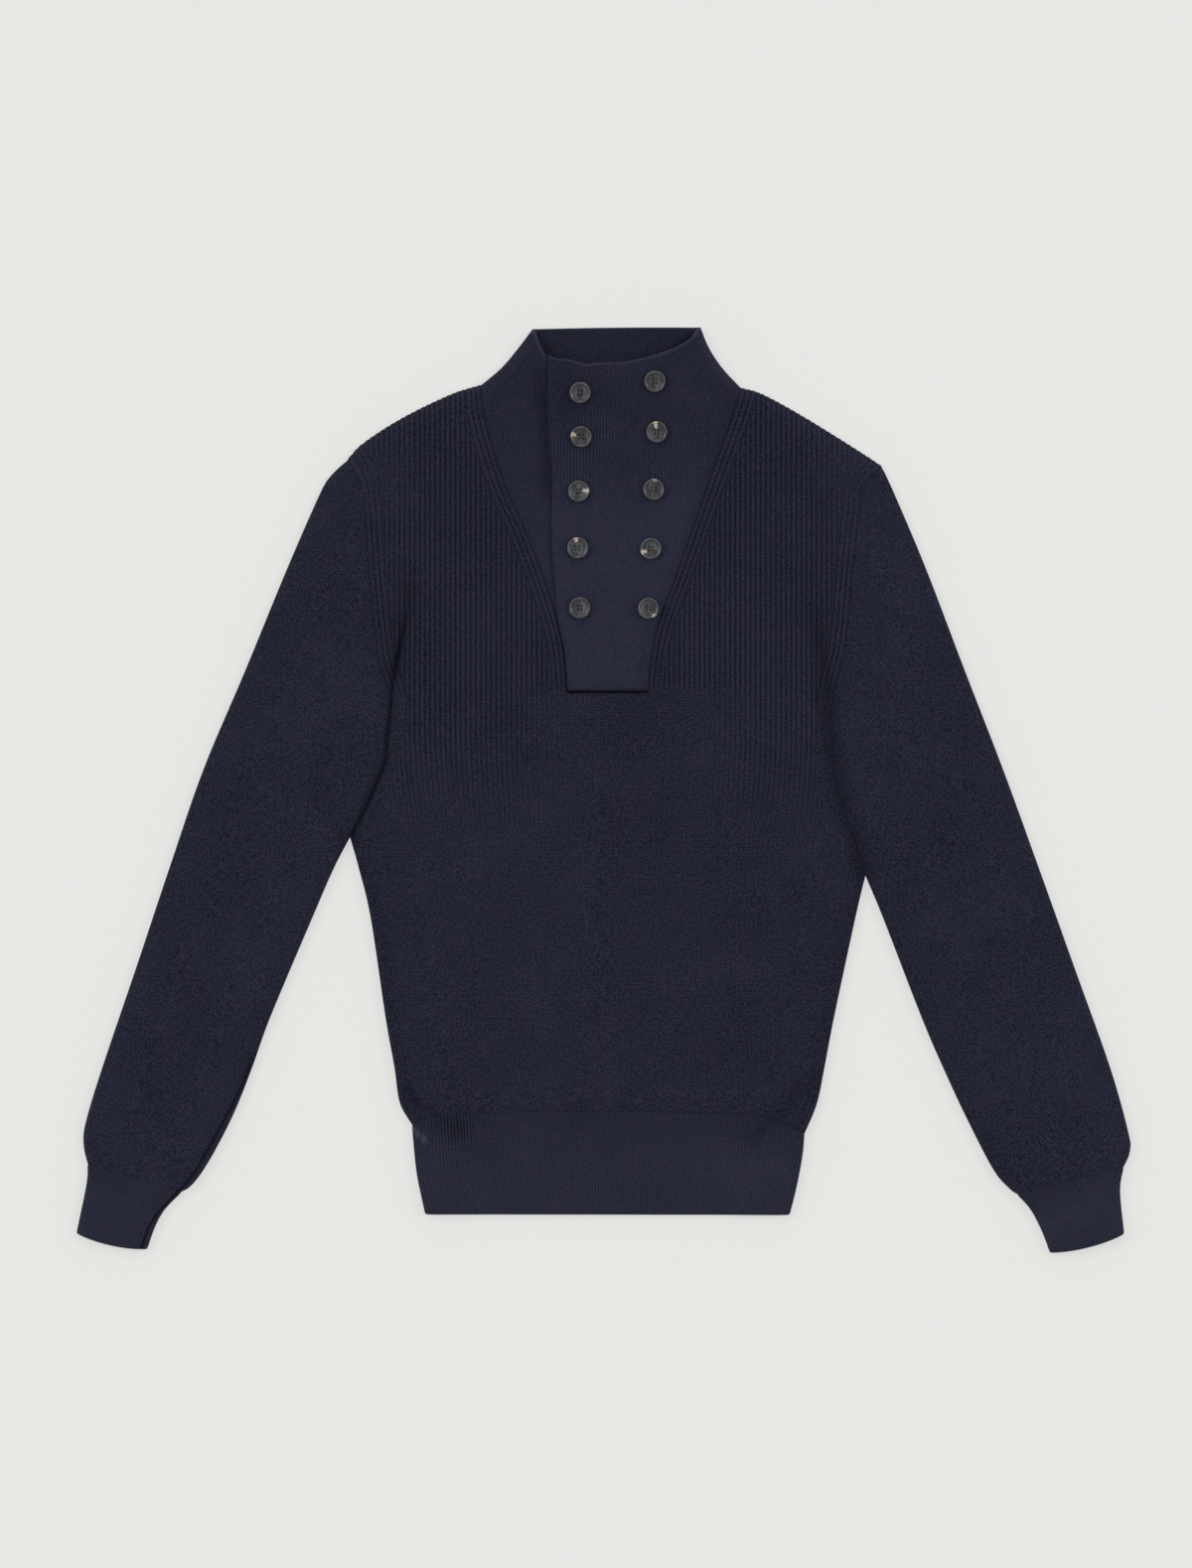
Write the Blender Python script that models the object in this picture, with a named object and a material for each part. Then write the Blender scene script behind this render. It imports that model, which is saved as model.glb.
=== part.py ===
"""High neck sweater laid flat on its back, with the arms down.

The pieces are those a knitter makes up: front, back, two sleeves with ribbed cuffs, a ribbed hem
band, a funnel collar in three pieces whose fronts run down into a V as a double-breasted placket,
and ten four-hole buttons.

Frame: metres, +Z up, the back rests on Z = 0, +Y points to the neck. Sizes below are millimetres.
The upper and the lower layer are height fields over the same plan, so pieces that share a seam
meet at one height, and both layers turn towards each other along every folded edge."""

import math

import bmesh
import bpy
import numpy as np
from mathutils import Matrix, Vector

MM = 0.001

# Cloth and how it lies
WALL = 2.8
SEAM_GAP = 0.3
EDGE_LEVEL = 4.2
UPPER_EDGE_ROUND = 14.0
LOWER_EDGE_ROUND = 10.0
BODY_LEVEL = 6.5
EDGE_LOFT = 2.4
EDGE_LOFT_ENDS = 50.0
CURVE_STEPS = 6
SMOOTH_ANGLE = 50.0

# The collar's funnel stands a little open above the chest
FUNNEL_RISE = 5.8
FUNNEL_MIDDLE_X = 8.0
FUNNEL_HALF_WIDTH = 62.0
FUNNEL_FOOT_Y = 275.0
FUNNEL_TOP_Y = 362.0

# Ribs: pitch, height and the number of ribs that run along a shaped edge
BODY_RIB_PITCH = 4.3
BODY_RIB_HEIGHT = 0.95
BODY_RIB_LOW_HEIGHT = 0.45
BODY_RIB_FADE_TOP_Y = 90.0
BODY_RIB_FADE_END_Y = -60.0
EDGE_RIBS = 3
COLLAR_RIB_PITCH = 3.1
COLLAR_RIB_HEIGHT = 0.4
HEM_RIBS = 122
HEM_RIB_HEIGHT = 0.4
CUFF_RIBS = 30
CUFF_RIB_HEIGHT = 0.4
CUFF_RIBS_FLATTEN_FROM = 6
RIB_STARTS_FROM_EDGE = 7.0
RIB_JOIN_CLEARANCE = 0.8
INSIDE_PITCH = 10.0
INSIDE_EDGE_STATIONS = (4.0, 9.0)
UNDER_EDGE_STATIONS = (3.0, 9.0)

# Plan of the folded edges and seams, (x, y), each from the neck or shoulder downwards
COLLAR_SIDE = {
    "left": ((-60.5, 388.0), (-72.0, 373.0), (-86.5, 356.0), (-103.3, 342.0)),
    "right": ((83.2, 390.0), (89.5, 374.0), (101.0, 356.5), (116.8, 339.5)),
}
SHOULDER = {
    "left": ((-103.3, 342.0), (-128.5, 334.0), (-168.8, 314.5), (-202.4, 293.0), (-216.0, 279.0)),
    "right": ((116.8, 339.5), (135.0, 334.0), (170.5, 314.5), (218.0, 285.0), (236.0, 273.0)),
}
SLEEVE_OUTER = {
    "left": (
        (-216.0, 279.0),
        (-231.0, 264.5),
        (-240.5, 248.0),
        (-268.0, 185.0),
        (-302.5, 101.0),
        (-338.0, 17.0),
        (-367.0, -67.0),
        (-395.0, -151.0),
        (-423.5, -235.0),
        (-437.5, -281.0),
        (-439.5, -300.0),
        (-436.0, -317.5),
    ),
    "right": (
        (236.0, 273.0),
        (247.5, 248.0),
        (274.0, 185.0),
        (306.0, 101.0),
        (338.5, 17.0),
        (369.0, -67.0),
        (399.0, -151.0),
        (429.0, -235.0),
        (444.5, -290.0),
        (446.0, -306.0),
        (440.5, -320.0),
    ),
}
SLEEVE_INNER = {
    "left": (
        (-214.0, -40.5),
        (-228.0, -67.5),
        (-246.0, -109.0),
        (-281.5, -193.0),
        (-296.5, -235.0),
        (-313.5, -277.0),
        (-333.5, -315.0),
        (-345.0, -333.5),
        (-356.5, -341.0),
    ),
    "right": (
        (222.0, -73.0),
        (237.0, -109.0),
        (269.5, -193.0),
        (287.5, -235.0),
        (307.0, -277.0),
        (330.0, -321.5),
        (343.5, -337.5),
        (350.5, -343.0),
    ),
}
CUFF_OUTER = {
    "left": ((-436.0, -317.5), (-437.0, -334.0), (-445.5, -375.5)),
    "right": ((440.5, -320.0), (437.5, -339.5), (441.0, -376.0)),
}
CUFF_INNER = {
    "left": ((-356.5, -341.0), (-371.0, -356.0), (-379.0, -370.5), (-385.5, -389.0)),
    "right": ((350.5, -343.0), (362.0, -356.0), (371.5, -374.5), (378.0, -392.0)),
}
BODY_SIDE = {
    "left": (
        (-214.0, -40.5),
        (-206.5, -67.0),
        (-196.5, -109.0),
        (-184.0, -193.0),
        (-176.5, -235.0),
        (-172.0, -265.0),
        (-161.5, -284.0),
    ),
    "right": (
        (222.0, -73.0),
        (213.5, -109.0),
        (195.5, -193.0),
        (187.5, -235.0),
        (181.0, -266.0),
        (170.5, -291.5),
    ),
}
HEM_SIDE = {
    "left": ((-161.5, -284.0), (-160.0, -295.0), (-156.0, -326.0), (-148.5, -359.5)),
    "right": ((170.5, -291.5), (169.0, -309.0), (164.0, -336.0), (158.0, -360.0)),
}
ARMHOLE = {
    "left": (
        (-216.0, 279.0),
        (-205.5, 259.5),
        (-201.5, 239.5),
        (-198.0, 186.5),
        (-190.0, 114.0),
        (-180.5, 82.0),
        (-179.0, 66.0),
        (-182.5, 39.5),
        (-214.0, -40.5),
    ),
    "right": (
        (236.0, 273.0),
        (219.0, 256.0),
        (216.5, 237.5),
        (211.0, 186.5),
        (205.0, 125.0),
        (195.0, 80.0),
        (194.0, 50.0),
        (195.5, 15.0),
        (212.5, -42.0),
        (222.0, -73.0),
    ),
}
NECK_V = {
    "left": (
        (-103.3, 342.0),
        (-100.5, 315.0),
        (-84.5, 262.0),
        (-63.0, 212.0),
        (-44.0, 160.5),
        (-33.5, 121.0),
        (-30.0, 83.0),
    ),
    "right": (
        (116.8, 339.5),
        (109.5, 315.0),
        (88.0, 255.5),
        (64.0, 187.0),
        (46.5, 139.0),
        (39.5, 100.0),
        (38.0, 83.0),
    ),
}
BACK_NECK_DIP_Y = 333.0
BACK_NECK_SHOULDER_RISE = 1.5
BACK_NECK_TURN = 0.4
NECK_STATIONS = 9
# Where the back's columns meet the shoulders, as shares of the way from the left
BACK_LEFT_SHARES = (0.0, 0.08, 0.3, 0.65)
BACK_RIGHT_SHARES = (0.35, 0.7, 0.92, 1.0)
HEM_SEAM = (
    (-161.5, -284.0),
    (-150.0, -279.5),
    (-120.0, -274.5),
    (0.0, -273.0),
    (125.0, -276.0),
    (158.0, -286.0),
    (170.5, -291.5),
)
HEM_SLOPE_REACH = 2.0
CUFF_EDGE_DROP = 3.5
COLLAR_FRONT_TOP = (
    (-60.5, 388.0),
    (-46.5, 367.5),
    (-40.0, 363.0),
    (-2.0, 360.0),
    (21.0, 361.5),
    (50.5, 369.0),
    (71.0, 378.0),
    (83.2, 390.0),
)
COLLAR_BACK_TOP_RISE = 1.5
OVERLAP_EDGE = (
    (-46.5, 367.5),
    (-47.0, 315.0),
    (-43.0, 261.0),
    (-44.5, 218.0),
    (-43.0, 172.0),
)
UNDERLAP_HIDDEN_X = 22.0
UNDERLAP_TOP_DROP = 3.0
UNDERLAP_DROP_LENGTH = 14.0
OVERLAP_CLEARANCE = 0.6
OVERLAP_COMES_DOWN = 10.0
COLLAR_TOP_FORM_ENDS = 0.6

# Rows of the front, by the height at which each meets the armhole and the V on both sides
HALF_ROWS = (
    # left armhole, left V, right V, right armhole
    (279.0, 342.0, 339.5, 273.0),
    (275.5, 337.5, 335.0, 269.0),
    (268.0, 329.0, 326.0, 262.0),
    (247.0, 308.0, 305.0, 243.0),
    (206.0, 262.0, 260.0, 204.0),
    (160.0, 206.0, 204.0, 158.0),
    (112.0, 142.0, 142.0, 110.0),
    (66.0, 83.0, 83.0, 62.0),
)
# Rows below the V, by the height at which each meets the left and the right side
FULL_ROWS = (
    (12.0, -2.0),
    (-40.5, -73.0),
    (-78.0, -103.0),
    (-135.0, -150.0),
    (-205.0, -212.0),
    (-258.0, -262.0),
    (-284.0, -291.5),
)
UNDERARM_ROW = len(HALF_ROWS) + 1
# Rings of a sleeve, by the height of its outer and its inner end
SLEEVE_RINGS = {
    "left": (
        (248.0, -43.5),
        (205.0, -48.0),
        (150.0, -54.0),
        (85.0, -60.0),
        (20.0, -66.0),
        (-40.0, -95.0),
        (-110.0, -150.0),
        (-180.0, -222.0),
        (-240.0, -280.0),
        (-285.0, -322.0),
        (-317.5, -341.0),
    ),
    "right": (
        (244.0, -76.0),
        (200.0, -80.0),
        (145.0, -85.0),
        (80.0, -91.0),
        (15.0, -98.0),
        (-45.0, -120.0),
        (-115.0, -165.0),
        (-185.0, -230.0),
        (-245.0, -287.0),
        (-290.0, -326.0),
        (-320.0, -343.0),
    ),
}
ARMHOLE_FORM_FADES = (0.86, 0.66, 0.44, 0.22, 0.07)
# Columns of a sleeve between two rows of the body, from the shoulder to the underarm
SLEEVE_STEPS = (1, 1, 2, 2, 1, 1, 1, 1, 3)
CUFF_ROWS = (0.0, 0.5, 1.0)
HEM_ROWS = (0.0, 0.5, 1.0)
COLLAR_SIDE_ROWS = (0.0, 0.2, 0.55)
BACK_COLLAR_ROWS = (0.0, 0.2, 0.55, 1.0)

# Soft ridges of the upper layer: line (x, y), half width and height
FOLDS = {
    "left armhole": (((-176.0, 196.0), (-186.0, 130.0), (-196.0, 62.0), (-211.0, -16.0)), 12.0, 2.6),
    "right armhole": (((196.0, 150.0), (208.0, 92.0), (211.0, 30.0), (226.0, -46.0)), 13.0, 2.4),
    "left underarm": (((-216.0, -22.0), (-250.0, 6.0), (-284.0, 48.0)), 12.0, 1.0),
    "right underarm": (((226.0, -52.0), (262.0, -20.0), (292.0, 30.0)), 13.0, 1.0),
    "hem overhang": (((-158.0, -262.0), (0.0, -259.0), (168.0, -266.0)), 11.0, 1.2),
    "left hem crease": (((-168.0, -238.0), (-140.0, -262.0), (-104.0, -284.0)), 8.0, 1.0),
    "right hem crease": (((176.0, -242.0), (160.0, -264.0), (132.0, -280.0)), 8.0, 0.8),
    "left cuff overhang": (((-431.0, -298.0), (-395.0, -306.0), (-352.0, -322.0)), 13.0, 1.3),
    "right cuff overhang": (((436.0, -300.0), (395.0, -308.0), (346.0, -326.0)), 13.0, 1.3),
    "left elbow": (((-345.0, -96.0), (-310.0, -128.0), (-282.0, -176.0)), 15.0, 0.8),
    "right elbow": (((352.0, -104.0), (316.0, -132.0), (280.0, -180.0)), 15.0, 0.8),
    "collar roll": (((-32.0, 352.0), (18.0, 350.0), (62.0, 364.0)), 9.0, 0.9),
}

# Buttons: diameter, thickness, rim and holes
BUTTON_DIAMETER = 18.0
BUTTON_THICKNESS = 3.6
BUTTON_RIM_WIDTH = 2.2
BUTTON_FOOT_INSET = 1.0
BUTTON_WIDEST_Z = 1.3
BUTTON_RIM_INSET = 0.8
BUTTON_DISH = 0.9
BUTTON_HOLE_DIAMETER = 1.9
BUTTON_HOLE_SPACING = 3.4
BUTTON_CLEARANCE = 0.3
BUTTON_SIDES = 16
BUTTON_HOLE_SIDES = 5
# Where the cloth below a button is measured: shares of its radius, and places all round
BUTTON_SEAT_RINGS = (0.35, 0.7, 1.0)
BUTTON_SEAT_PLACES = 12
BUTTONS = {
    # middle (x, y) of each
    "button_left_1": (-19.3, 335.0),
    "button_left_2": (-18.5, 298.0),
    "button_left_3": (-20.6, 252.0),
    "button_left_4": (-21.4, 204.0),
    "button_left_5": (-19.7, 153.5),
    "button_right_1": (43.7, 344.5),
    "button_right_2": (45.4, 302.0),
    "button_right_3": (42.8, 253.5),
    "button_right_4": (40.3, 203.5),
    "button_right_5": (38.2, 153.0),
}

# Colour, roughness
KNIT_FINISH = ((0.017, 0.018, 0.031, 1.0), 0.95)
RIB_FINISH = ((0.022, 0.023, 0.039, 1.0), 0.92)
BUTTON_FINISH = ((0.035, 0.036, 0.041, 1.0), 0.35)

OUTER = 0
INNER = 1
FAR = 10000.0


def smooth_curve(points):
    """A polyline along a Catmull-Rom curve through the points."""
    places = np.array(points, float)
    ends = [2.0 * places[0] - places[1], *places, 2.0 * places[-1] - places[-2]]
    line = []
    for before, start, end, after in zip(ends, ends[1:], ends[2:], ends[3:]):
        for step in range(CURVE_STEPS):
            t = step / CURVE_STEPS
            line.append(
                0.5
                * (
                    2.0 * start
                    + (end - before) * t
                    + (2.0 * before - 5.0 * start + 4.0 * end - after) * t**2
                    + (3.0 * start - before - 3.0 * end + after) * t**3
                )
            )
    line.append(places[-1])
    return np.array(line)


def at_height(points, height):
    """The place where a curve that only falls passes a height."""
    line = smooth_curve(points)[::-1]
    return np.array((np.interp(height, line[:, 1], line[:, 0]), height))


def at_share(points, share):
    """The place at a share of a curve's length."""
    line = smooth_curve(points)
    lengths = np.hypot(*np.diff(line, axis=0).T)
    travelled = np.concatenate(((0.0,), np.cumsum(lengths))) / lengths.sum()
    return np.array((np.interp(share, travelled, line[:, 0]), np.interp(share, travelled, line[:, 1])))


def height_over(points, x):
    """The height of a curve that only runs to the right."""
    line = smooth_curve(points)
    return float(np.interp(x, line[:, 0], line[:, 1]))


def ease(value):
    """0 to 1 with level ends."""
    share = min(max(value, 0.0), 1.0)
    return share * share * (3.0 - 2.0 * share)


def folded_edges():
    """All folded edges, each run so that the cloth lies on its left."""
    edges = []
    down_left = (COLLAR_SIDE["left"], SHOULDER["left"], SLEEVE_OUTER["left"], CUFF_OUTER["left"])
    edges += [smooth_curve(points) for points in down_left]
    edges += [smooth_curve(points)[::-1] for points in (CUFF_INNER["left"], SLEEVE_INNER["left"])]
    edges += [smooth_curve(points) for points in (BODY_SIDE["left"], HEM_SIDE["left"])]
    edges += [smooth_curve(points)[::-1] for points in (HEM_SIDE["right"], BODY_SIDE["right"])]
    edges += [smooth_curve(points) for points in (SLEEVE_INNER["right"], CUFF_INNER["right"])]
    up_right = (CUFF_OUTER["right"], SLEEVE_OUTER["right"], SHOULDER["right"], COLLAR_SIDE["right"])
    edges += [smooth_curve(points)[::-1] for points in up_right]
    return edges


EDGES = folded_edges()
EDGE_STARTS = np.concatenate([edge[:-1] for edge in EDGES])
EDGE_RUNS = np.concatenate([np.diff(edge, axis=0) for edge in EDGES])
EDGE_NORMALS = np.stack((-EDGE_RUNS[:, 1], EDGE_RUNS[:, 0]), axis=1)
EDGE_NORMALS /= np.hypot(EDGE_NORMALS[:, 0], EDGE_NORMALS[:, 1])[:, None]
FOLD_LINES = {name: (smooth_curve(line), width, height) for name, (line, width, height) in FOLDS.items()}
ON_EDGE = 0.05


def ways_from(starts, runs, place):
    """The way from the nearest place of each segment, and how long it is."""
    share = ((place - starts) * runs).sum(axis=1) / (runs * runs).sum(axis=1)
    away = place - starts - runs * np.clip(share, 0.0, 1.0)[:, None]
    return away, np.hypot(away[:, 0], away[:, 1])


def from_edge(x, y):
    """Distance from the nearest folded edge, and the direction into the cloth."""
    away, distances = ways_from(EDGE_STARTS, EDGE_RUNS, np.array((x, y)))
    nearest = int(np.argmin(distances))
    if distances[nearest] < ON_EDGE:
        inward = EDGE_NORMALS[distances < ON_EDGE].sum(axis=0)
        return 0.0, inward / np.hypot(*inward)
    return float(distances[nearest]), away[nearest] / distances[nearest]


def ridges(x, y):
    """How far the soft folds lift the upper layer."""
    lift = 0.0
    for line, width, height in FOLD_LINES.values():
        distance = ways_from(line[:-1], np.diff(line, axis=0), np.array((x, y)))[1].min()
        lift += height * math.exp(-((distance / width) ** 2))
    return lift


def funnel(x, y):
    """How far the collar's front stands up."""
    across = math.exp(-0.5 * ((x - FUNNEL_MIDDLE_X) / FUNNEL_HALF_WIDTH) ** 2)
    return FUNNEL_RISE * across * ease((y - FUNNEL_FOOT_Y) / (FUNNEL_TOP_Y - FUNNEL_FOOT_Y))


def wall_points(x, y, z, direction, relief=0.0):
    """The outer and the inner point of the wall at a place of its outer face."""
    outer = np.array((x, y, z))
    return outer + relief * direction, outer - WALL * direction


def upper(x, y, relief=0.0, lift=0.0, level=SEAM_GAP / 2.0):
    """Outer and inner point of the upper layer. level is its start above the folded edge."""
    distance, inward = from_edge(x, y)
    cosine = 1.0 - min(distance / UPPER_EDGE_ROUND, 1.0)
    sine = math.sqrt(1.0 - cosine * cosine)
    loft = EDGE_LOFT * (1.0 - ease((distance - UPPER_EDGE_ROUND) / EDGE_LOFT_ENDS))
    rise = BODY_LEVEL + loft + funnel(x, y) + ridges(x, y) - EDGE_LEVEL
    direction = np.array((*(-inward * cosine), sine))
    raised = relief * ease(distance / RIB_STARTS_FROM_EDGE)
    return wall_points(x, y, EDGE_LEVEL + level + rise * sine + lift, direction, raised)


def lower(x, y, level=-SEAM_GAP / 2.0):
    """Outer and inner point of the lower layer, which lies flat but for its turned edges."""
    distance, inward = from_edge(x, y)
    cosine = 1.0 - min(distance / LOWER_EDGE_ROUND, 1.0)
    sine = math.sqrt(1.0 - cosine * cosine)
    direction = np.array((*(-inward * cosine), -sine))
    return wall_points(x, y, (EDGE_LEVEL + level) * (1.0 - sine), direction)


def shifted(points, way):
    """Wall points on a seam: upright over the seam's line, and half the seam gap to one side."""
    off = np.array((*way, 0.0)) / np.hypot(*way)
    through = points[INNER] - points[OUTER]
    inner = points[OUTER] + through - off * through.dot(off)
    move = off * (SEAM_GAP / 2.0)
    return points[OUTER] + move, inner + move


def add_row(mesh, keyed_points):
    """Vertices for (key, point) pairs, as (key, vertex)."""
    return [(key, mesh.verts.new(Vector(point) * MM)) for key, point in keyed_points]


def next_middle(row, index):
    """The key half way to the row's next vertex, or nothing at its end."""
    if index == len(row) - 1:
        return math.inf
    return (row[index][0] + row[index + 1][0]) / 2.0


def strip(mesh, first, second):
    """Triangles between two rows of (key, vertex), walking both in the order of their keys."""
    i = 0
    j = 0
    while i < len(first) - 1 or j < len(second) - 1:
        if next_middle(first, i) <= next_middle(second, j):
            mesh.faces.new((first[i][1], first[i + 1][1], second[j][1]))
            i += 1
        else:
            mesh.faces.new((first[i][1], second[j + 1][1], second[j][1]))
            j += 1


def keyed_by_x(row):
    """The same vertices with their own x as the key."""
    return [(vertex.co.x / MM, vertex) for _, vertex in row]


def keyed_by_reach(row):
    """The same vertices keyed by how far they lie from the row's first to its last one."""
    start = row[0][1].co
    run = row[-1][1].co - start
    return [((vertex.co - start).dot(run) / run.length_squared, vertex) for _, vertex in row]


def keyed_by_place(row):
    """The same vertices keyed by their place in the row."""
    return [(index / (len(row) - 1.0), vertex) for index, (_, vertex) in enumerate(row)]


def close_rim(mesh, outer_row, inner_row):
    """Joins an outer and an inner row, point to point where they are alike in number."""
    if len(outer_row) == len(inner_row):
        strip(mesh, keyed_by_place(outer_row), keyed_by_place(inner_row))
    else:
        strip(mesh, keyed_by_reach(outer_row), keyed_by_reach(inner_row))


def column_of(rows, place):
    """The first or last vertices of the rows, keyed by row."""
    return [(index, row[place][1]) for index, row in enumerate(rows)]


def finish_solid(name, mesh, finish):
    """Turns a closed mesh into a named object with its material."""
    bmesh.ops.recalc_face_normals(mesh, faces=mesh.faces)
    if mesh.calc_volume(signed=True) < 0.0:
        bmesh.ops.reverse_faces(mesh, faces=mesh.faces)
    data = bpy.data.meshes.new(name)
    mesh.to_mesh(data)
    mesh.free()
    solid = bpy.data.objects.new(name, data)
    bpy.context.scene.collection.objects.link(solid)
    material = bpy.data.materials.new(name + "_finish")
    material.use_nodes = True
    shader = material.node_tree.nodes["Principled BSDF"]
    shader.inputs["Base Color"].default_value = finish[0]
    shader.inputs["Roughness"].default_value = finish[1]
    shader.inputs["Metallic"].default_value = 0.0
    data.materials.append(material)
    data.shade_smooth()
    data.set_sharp_from_angle(angle=math.radians(SMOOTH_ANGLE))
    return solid


class Row:
    """A line across a panel between two seam or edge places, bent by a share of a top curve."""

    def __init__(self, left, right, bend=None, share=0.0, top_ends=None):
        self.left = np.array(left, float)
        self.right = np.array(right, float)
        self.bend = bend
        self.share = share
        self.top_ends = top_ends

    def height(self, x):
        """The row's y at an x."""
        place = (x - self.left[0]) / (self.right[0] - self.left[0])
        straight = self.left[1] + (self.right[1] - self.left[1]) * place
        if self.bend is None or self.share == 0.0:
            return straight
        top_left, top_right = self.top_ends
        top_x = top_left[0] + (top_right[0] - top_left[0]) * place
        top_straight = top_left[1] + (top_right[1] - top_left[1]) * place
        return straight + self.share * (height_over(self.bend, top_x) - top_straight)


def rib_stations(left, right, pitch, band_ribs):
    """(key, x, crest) across a row: ribs along both ends, and upright ribs that stop at them."""
    half = pitch / 2.0
    band = 2 * band_ribs
    stations = [(-FAR + index, left + index * half, index % 2) for index in range(1, band + 1)]
    first = math.ceil(left / half + band + RIB_JOIN_CLEARANCE)
    last = math.floor(right / half - band - RIB_JOIN_CLEARANCE)
    stations += [(index * half, index * half, index % 2) for index in range(first, last + 1)]
    stations += [(FAR - index, right - index * half, index % 2) for index in range(band, 0, -1)]
    return stations


def plain_stations(left, right, pitch, edge_stations):
    """x places for a plain face: close to both ends, and evenly between."""
    count = max(2, round((right - left - 2.0 * edge_stations[-1]) / pitch))
    between = np.linspace(left + edge_stations[-1], right - edge_stations[-1], count + 1)
    near_left = [left + offset for offset in edge_stations[:-1]]
    near_right = [right - offset for offset in reversed(edge_stations[:-1])]
    return [*near_left, *between, *near_right]


def body_rib_height(y):
    """Ribs are high on the chest and low towards the hem."""
    share = ease((y - BODY_RIB_FADE_END_Y) / (BODY_RIB_FADE_TOP_Y - BODY_RIB_FADE_END_Y))
    return BODY_RIB_LOW_HEIGHT + (BODY_RIB_HEIGHT - BODY_RIB_LOW_HEIGHT) * share


def bow(share):
    """0 at both ends of a row and 1 in its middle."""
    return 4.0 * share * (1.0 - share)


def plan_normal(line, index):
    """The plan direction to the left of a seam at one of its samples."""
    before = line[max(index - 1, 0)]
    after = line[min(index + 1, len(line) - 1)]
    run = np.array(after) - np.array(before)
    return np.array((-run[1], run[0])) / np.hypot(*run)


# Seam samples, shared by the pieces on both sides of a seam
HALF_COUNT = len(HALF_ROWS)
LAST_ROW = HALF_COUNT + len(FULL_ROWS) - 1
SIDE_HEIGHTS = {
    "left": [row[0] for row in HALF_ROWS] + [row[0] for row in FULL_ROWS],
    "right": [row[3] for row in HALF_ROWS] + [row[1] for row in FULL_ROWS],
}
V_HEIGHTS = {"left": [row[1] for row in HALF_ROWS], "right": [row[2] for row in HALF_ROWS]}


def side_place(side, index):
    """Where a row of the body meets the armhole or the folded side."""
    line = ARMHOLE[side] if index <= UNDERARM_ROW else BODY_SIDE[side]
    return at_height(line, SIDE_HEIGHTS[side][index])


SIDE_PLACES = {side: [side_place(side, index) for index in range(LAST_ROW + 1)] for side in ("left", "right")}
V_PLACES = {side: [at_height(NECK_V[side], y) for y in V_HEIGHTS[side]] for side in ("left", "right")}
INTO_BODY = {"left": 1.0, "right": -1.0}


def side_way(side, index):
    """The plan direction from the armhole seam into the body, or nothing on the folded side."""
    if index > UNDERARM_ROW:
        return None
    return plan_normal(SIDE_PLACES[side][: UNDERARM_ROW + 1], index) * INTO_BODY[side]


def v_way(side, index):
    """The plan direction from the V seam into the body."""
    return plan_normal(V_PLACES[side], index) * -INTO_BODY[side]


def hem_way(x):
    """The plan direction from the hem seam up into the body."""
    left, right = max(x - HEM_SLOPE_REACH, HEM_SEAM[0][0]), min(x + HEM_SLOPE_REACH, HEM_SEAM[-1][0])
    run = np.array((right - left, height_over(HEM_SEAM, right) - height_over(HEM_SEAM, left)))
    return np.array((-run[1], run[0])) / np.hypot(*run)


def end_points(points, *ways):
    """Wall points moved off every seam they lie on."""
    for way in ways:
        if way is not None:
            points = shifted(points, way)
    return points


def body_row(index, side_from, side_to):
    """The row of the front between two sides: 'left', 'right' or one of the V sides."""
    share = 1.0 - index / (HALF_COUNT - 1.0)
    if side_from == "left" and side_to == "left":
        left_end, right_end = SIDE_PLACES["left"][index], V_PLACES["left"][index]
        top_ends = (SIDE_PLACES["left"][0], V_PLACES["left"][0])
        return Row(left_end, right_end, SHOULDER["left"][::-1], share, top_ends)
    if side_from == "right" and side_to == "right":
        left_end, right_end = V_PLACES["right"][index], SIDE_PLACES["right"][index]
        top_ends = (V_PLACES["right"][0], SIDE_PLACES["right"][0])
        return Row(left_end, right_end, SHOULDER["right"], share, top_ends)
    left_end, right_end = SIDE_PLACES["left"][index], SIDE_PLACES["right"][index]
    if index == LAST_ROW:
        return Row(left_end, right_end, HEM_SEAM, 1.0, (left_end, right_end))
    return Row(left_end, right_end)


def front_row(mesh, row, left_ways, right_ways, on_hem=False):
    """Outer and inner vertices of one row of the front, (key, vertex) with ribs on the outside."""
    left_x, right_x = row.left[0], row.right[0]
    if on_hem:
        left_ways = (*left_ways, hem_way(left_x))
        right_ways = (*right_ways, hem_way(right_x))
    left = end_points(upper(*row.left), *left_ways)
    right = end_points(upper(*row.right), *right_ways)
    outer = [(-FAR, left[OUTER])]
    for key, x, crest in rib_stations(left_x, right_x, BODY_RIB_PITCH, EDGE_RIBS):
        y = row.height(x)
        points = upper(x, y, relief=crest * body_rib_height(y))
        outer.append((key, end_points(points, hem_way(x) if on_hem else None)[OUTER]))
    outer.append((FAR, right[OUTER]))
    inner = [(-FAR, left[INNER])]
    for x in plain_stations(left_x, right_x, INSIDE_PITCH, INSIDE_EDGE_STATIONS):
        points = upper(x, row.height(x))
        inner.append((x, end_points(points, hem_way(x) if on_hem else None)[INNER]))
    inner.append((FAR, right[INNER]))
    return add_row(mesh, outer), add_row(mesh, inner)


def close_sides(mesh, outer_rows, inner_rows, place):
    """Joins the outer and the inner face along one end of their rows."""
    strip(mesh, column_of(outer_rows, place), column_of(inner_rows, place))


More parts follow.
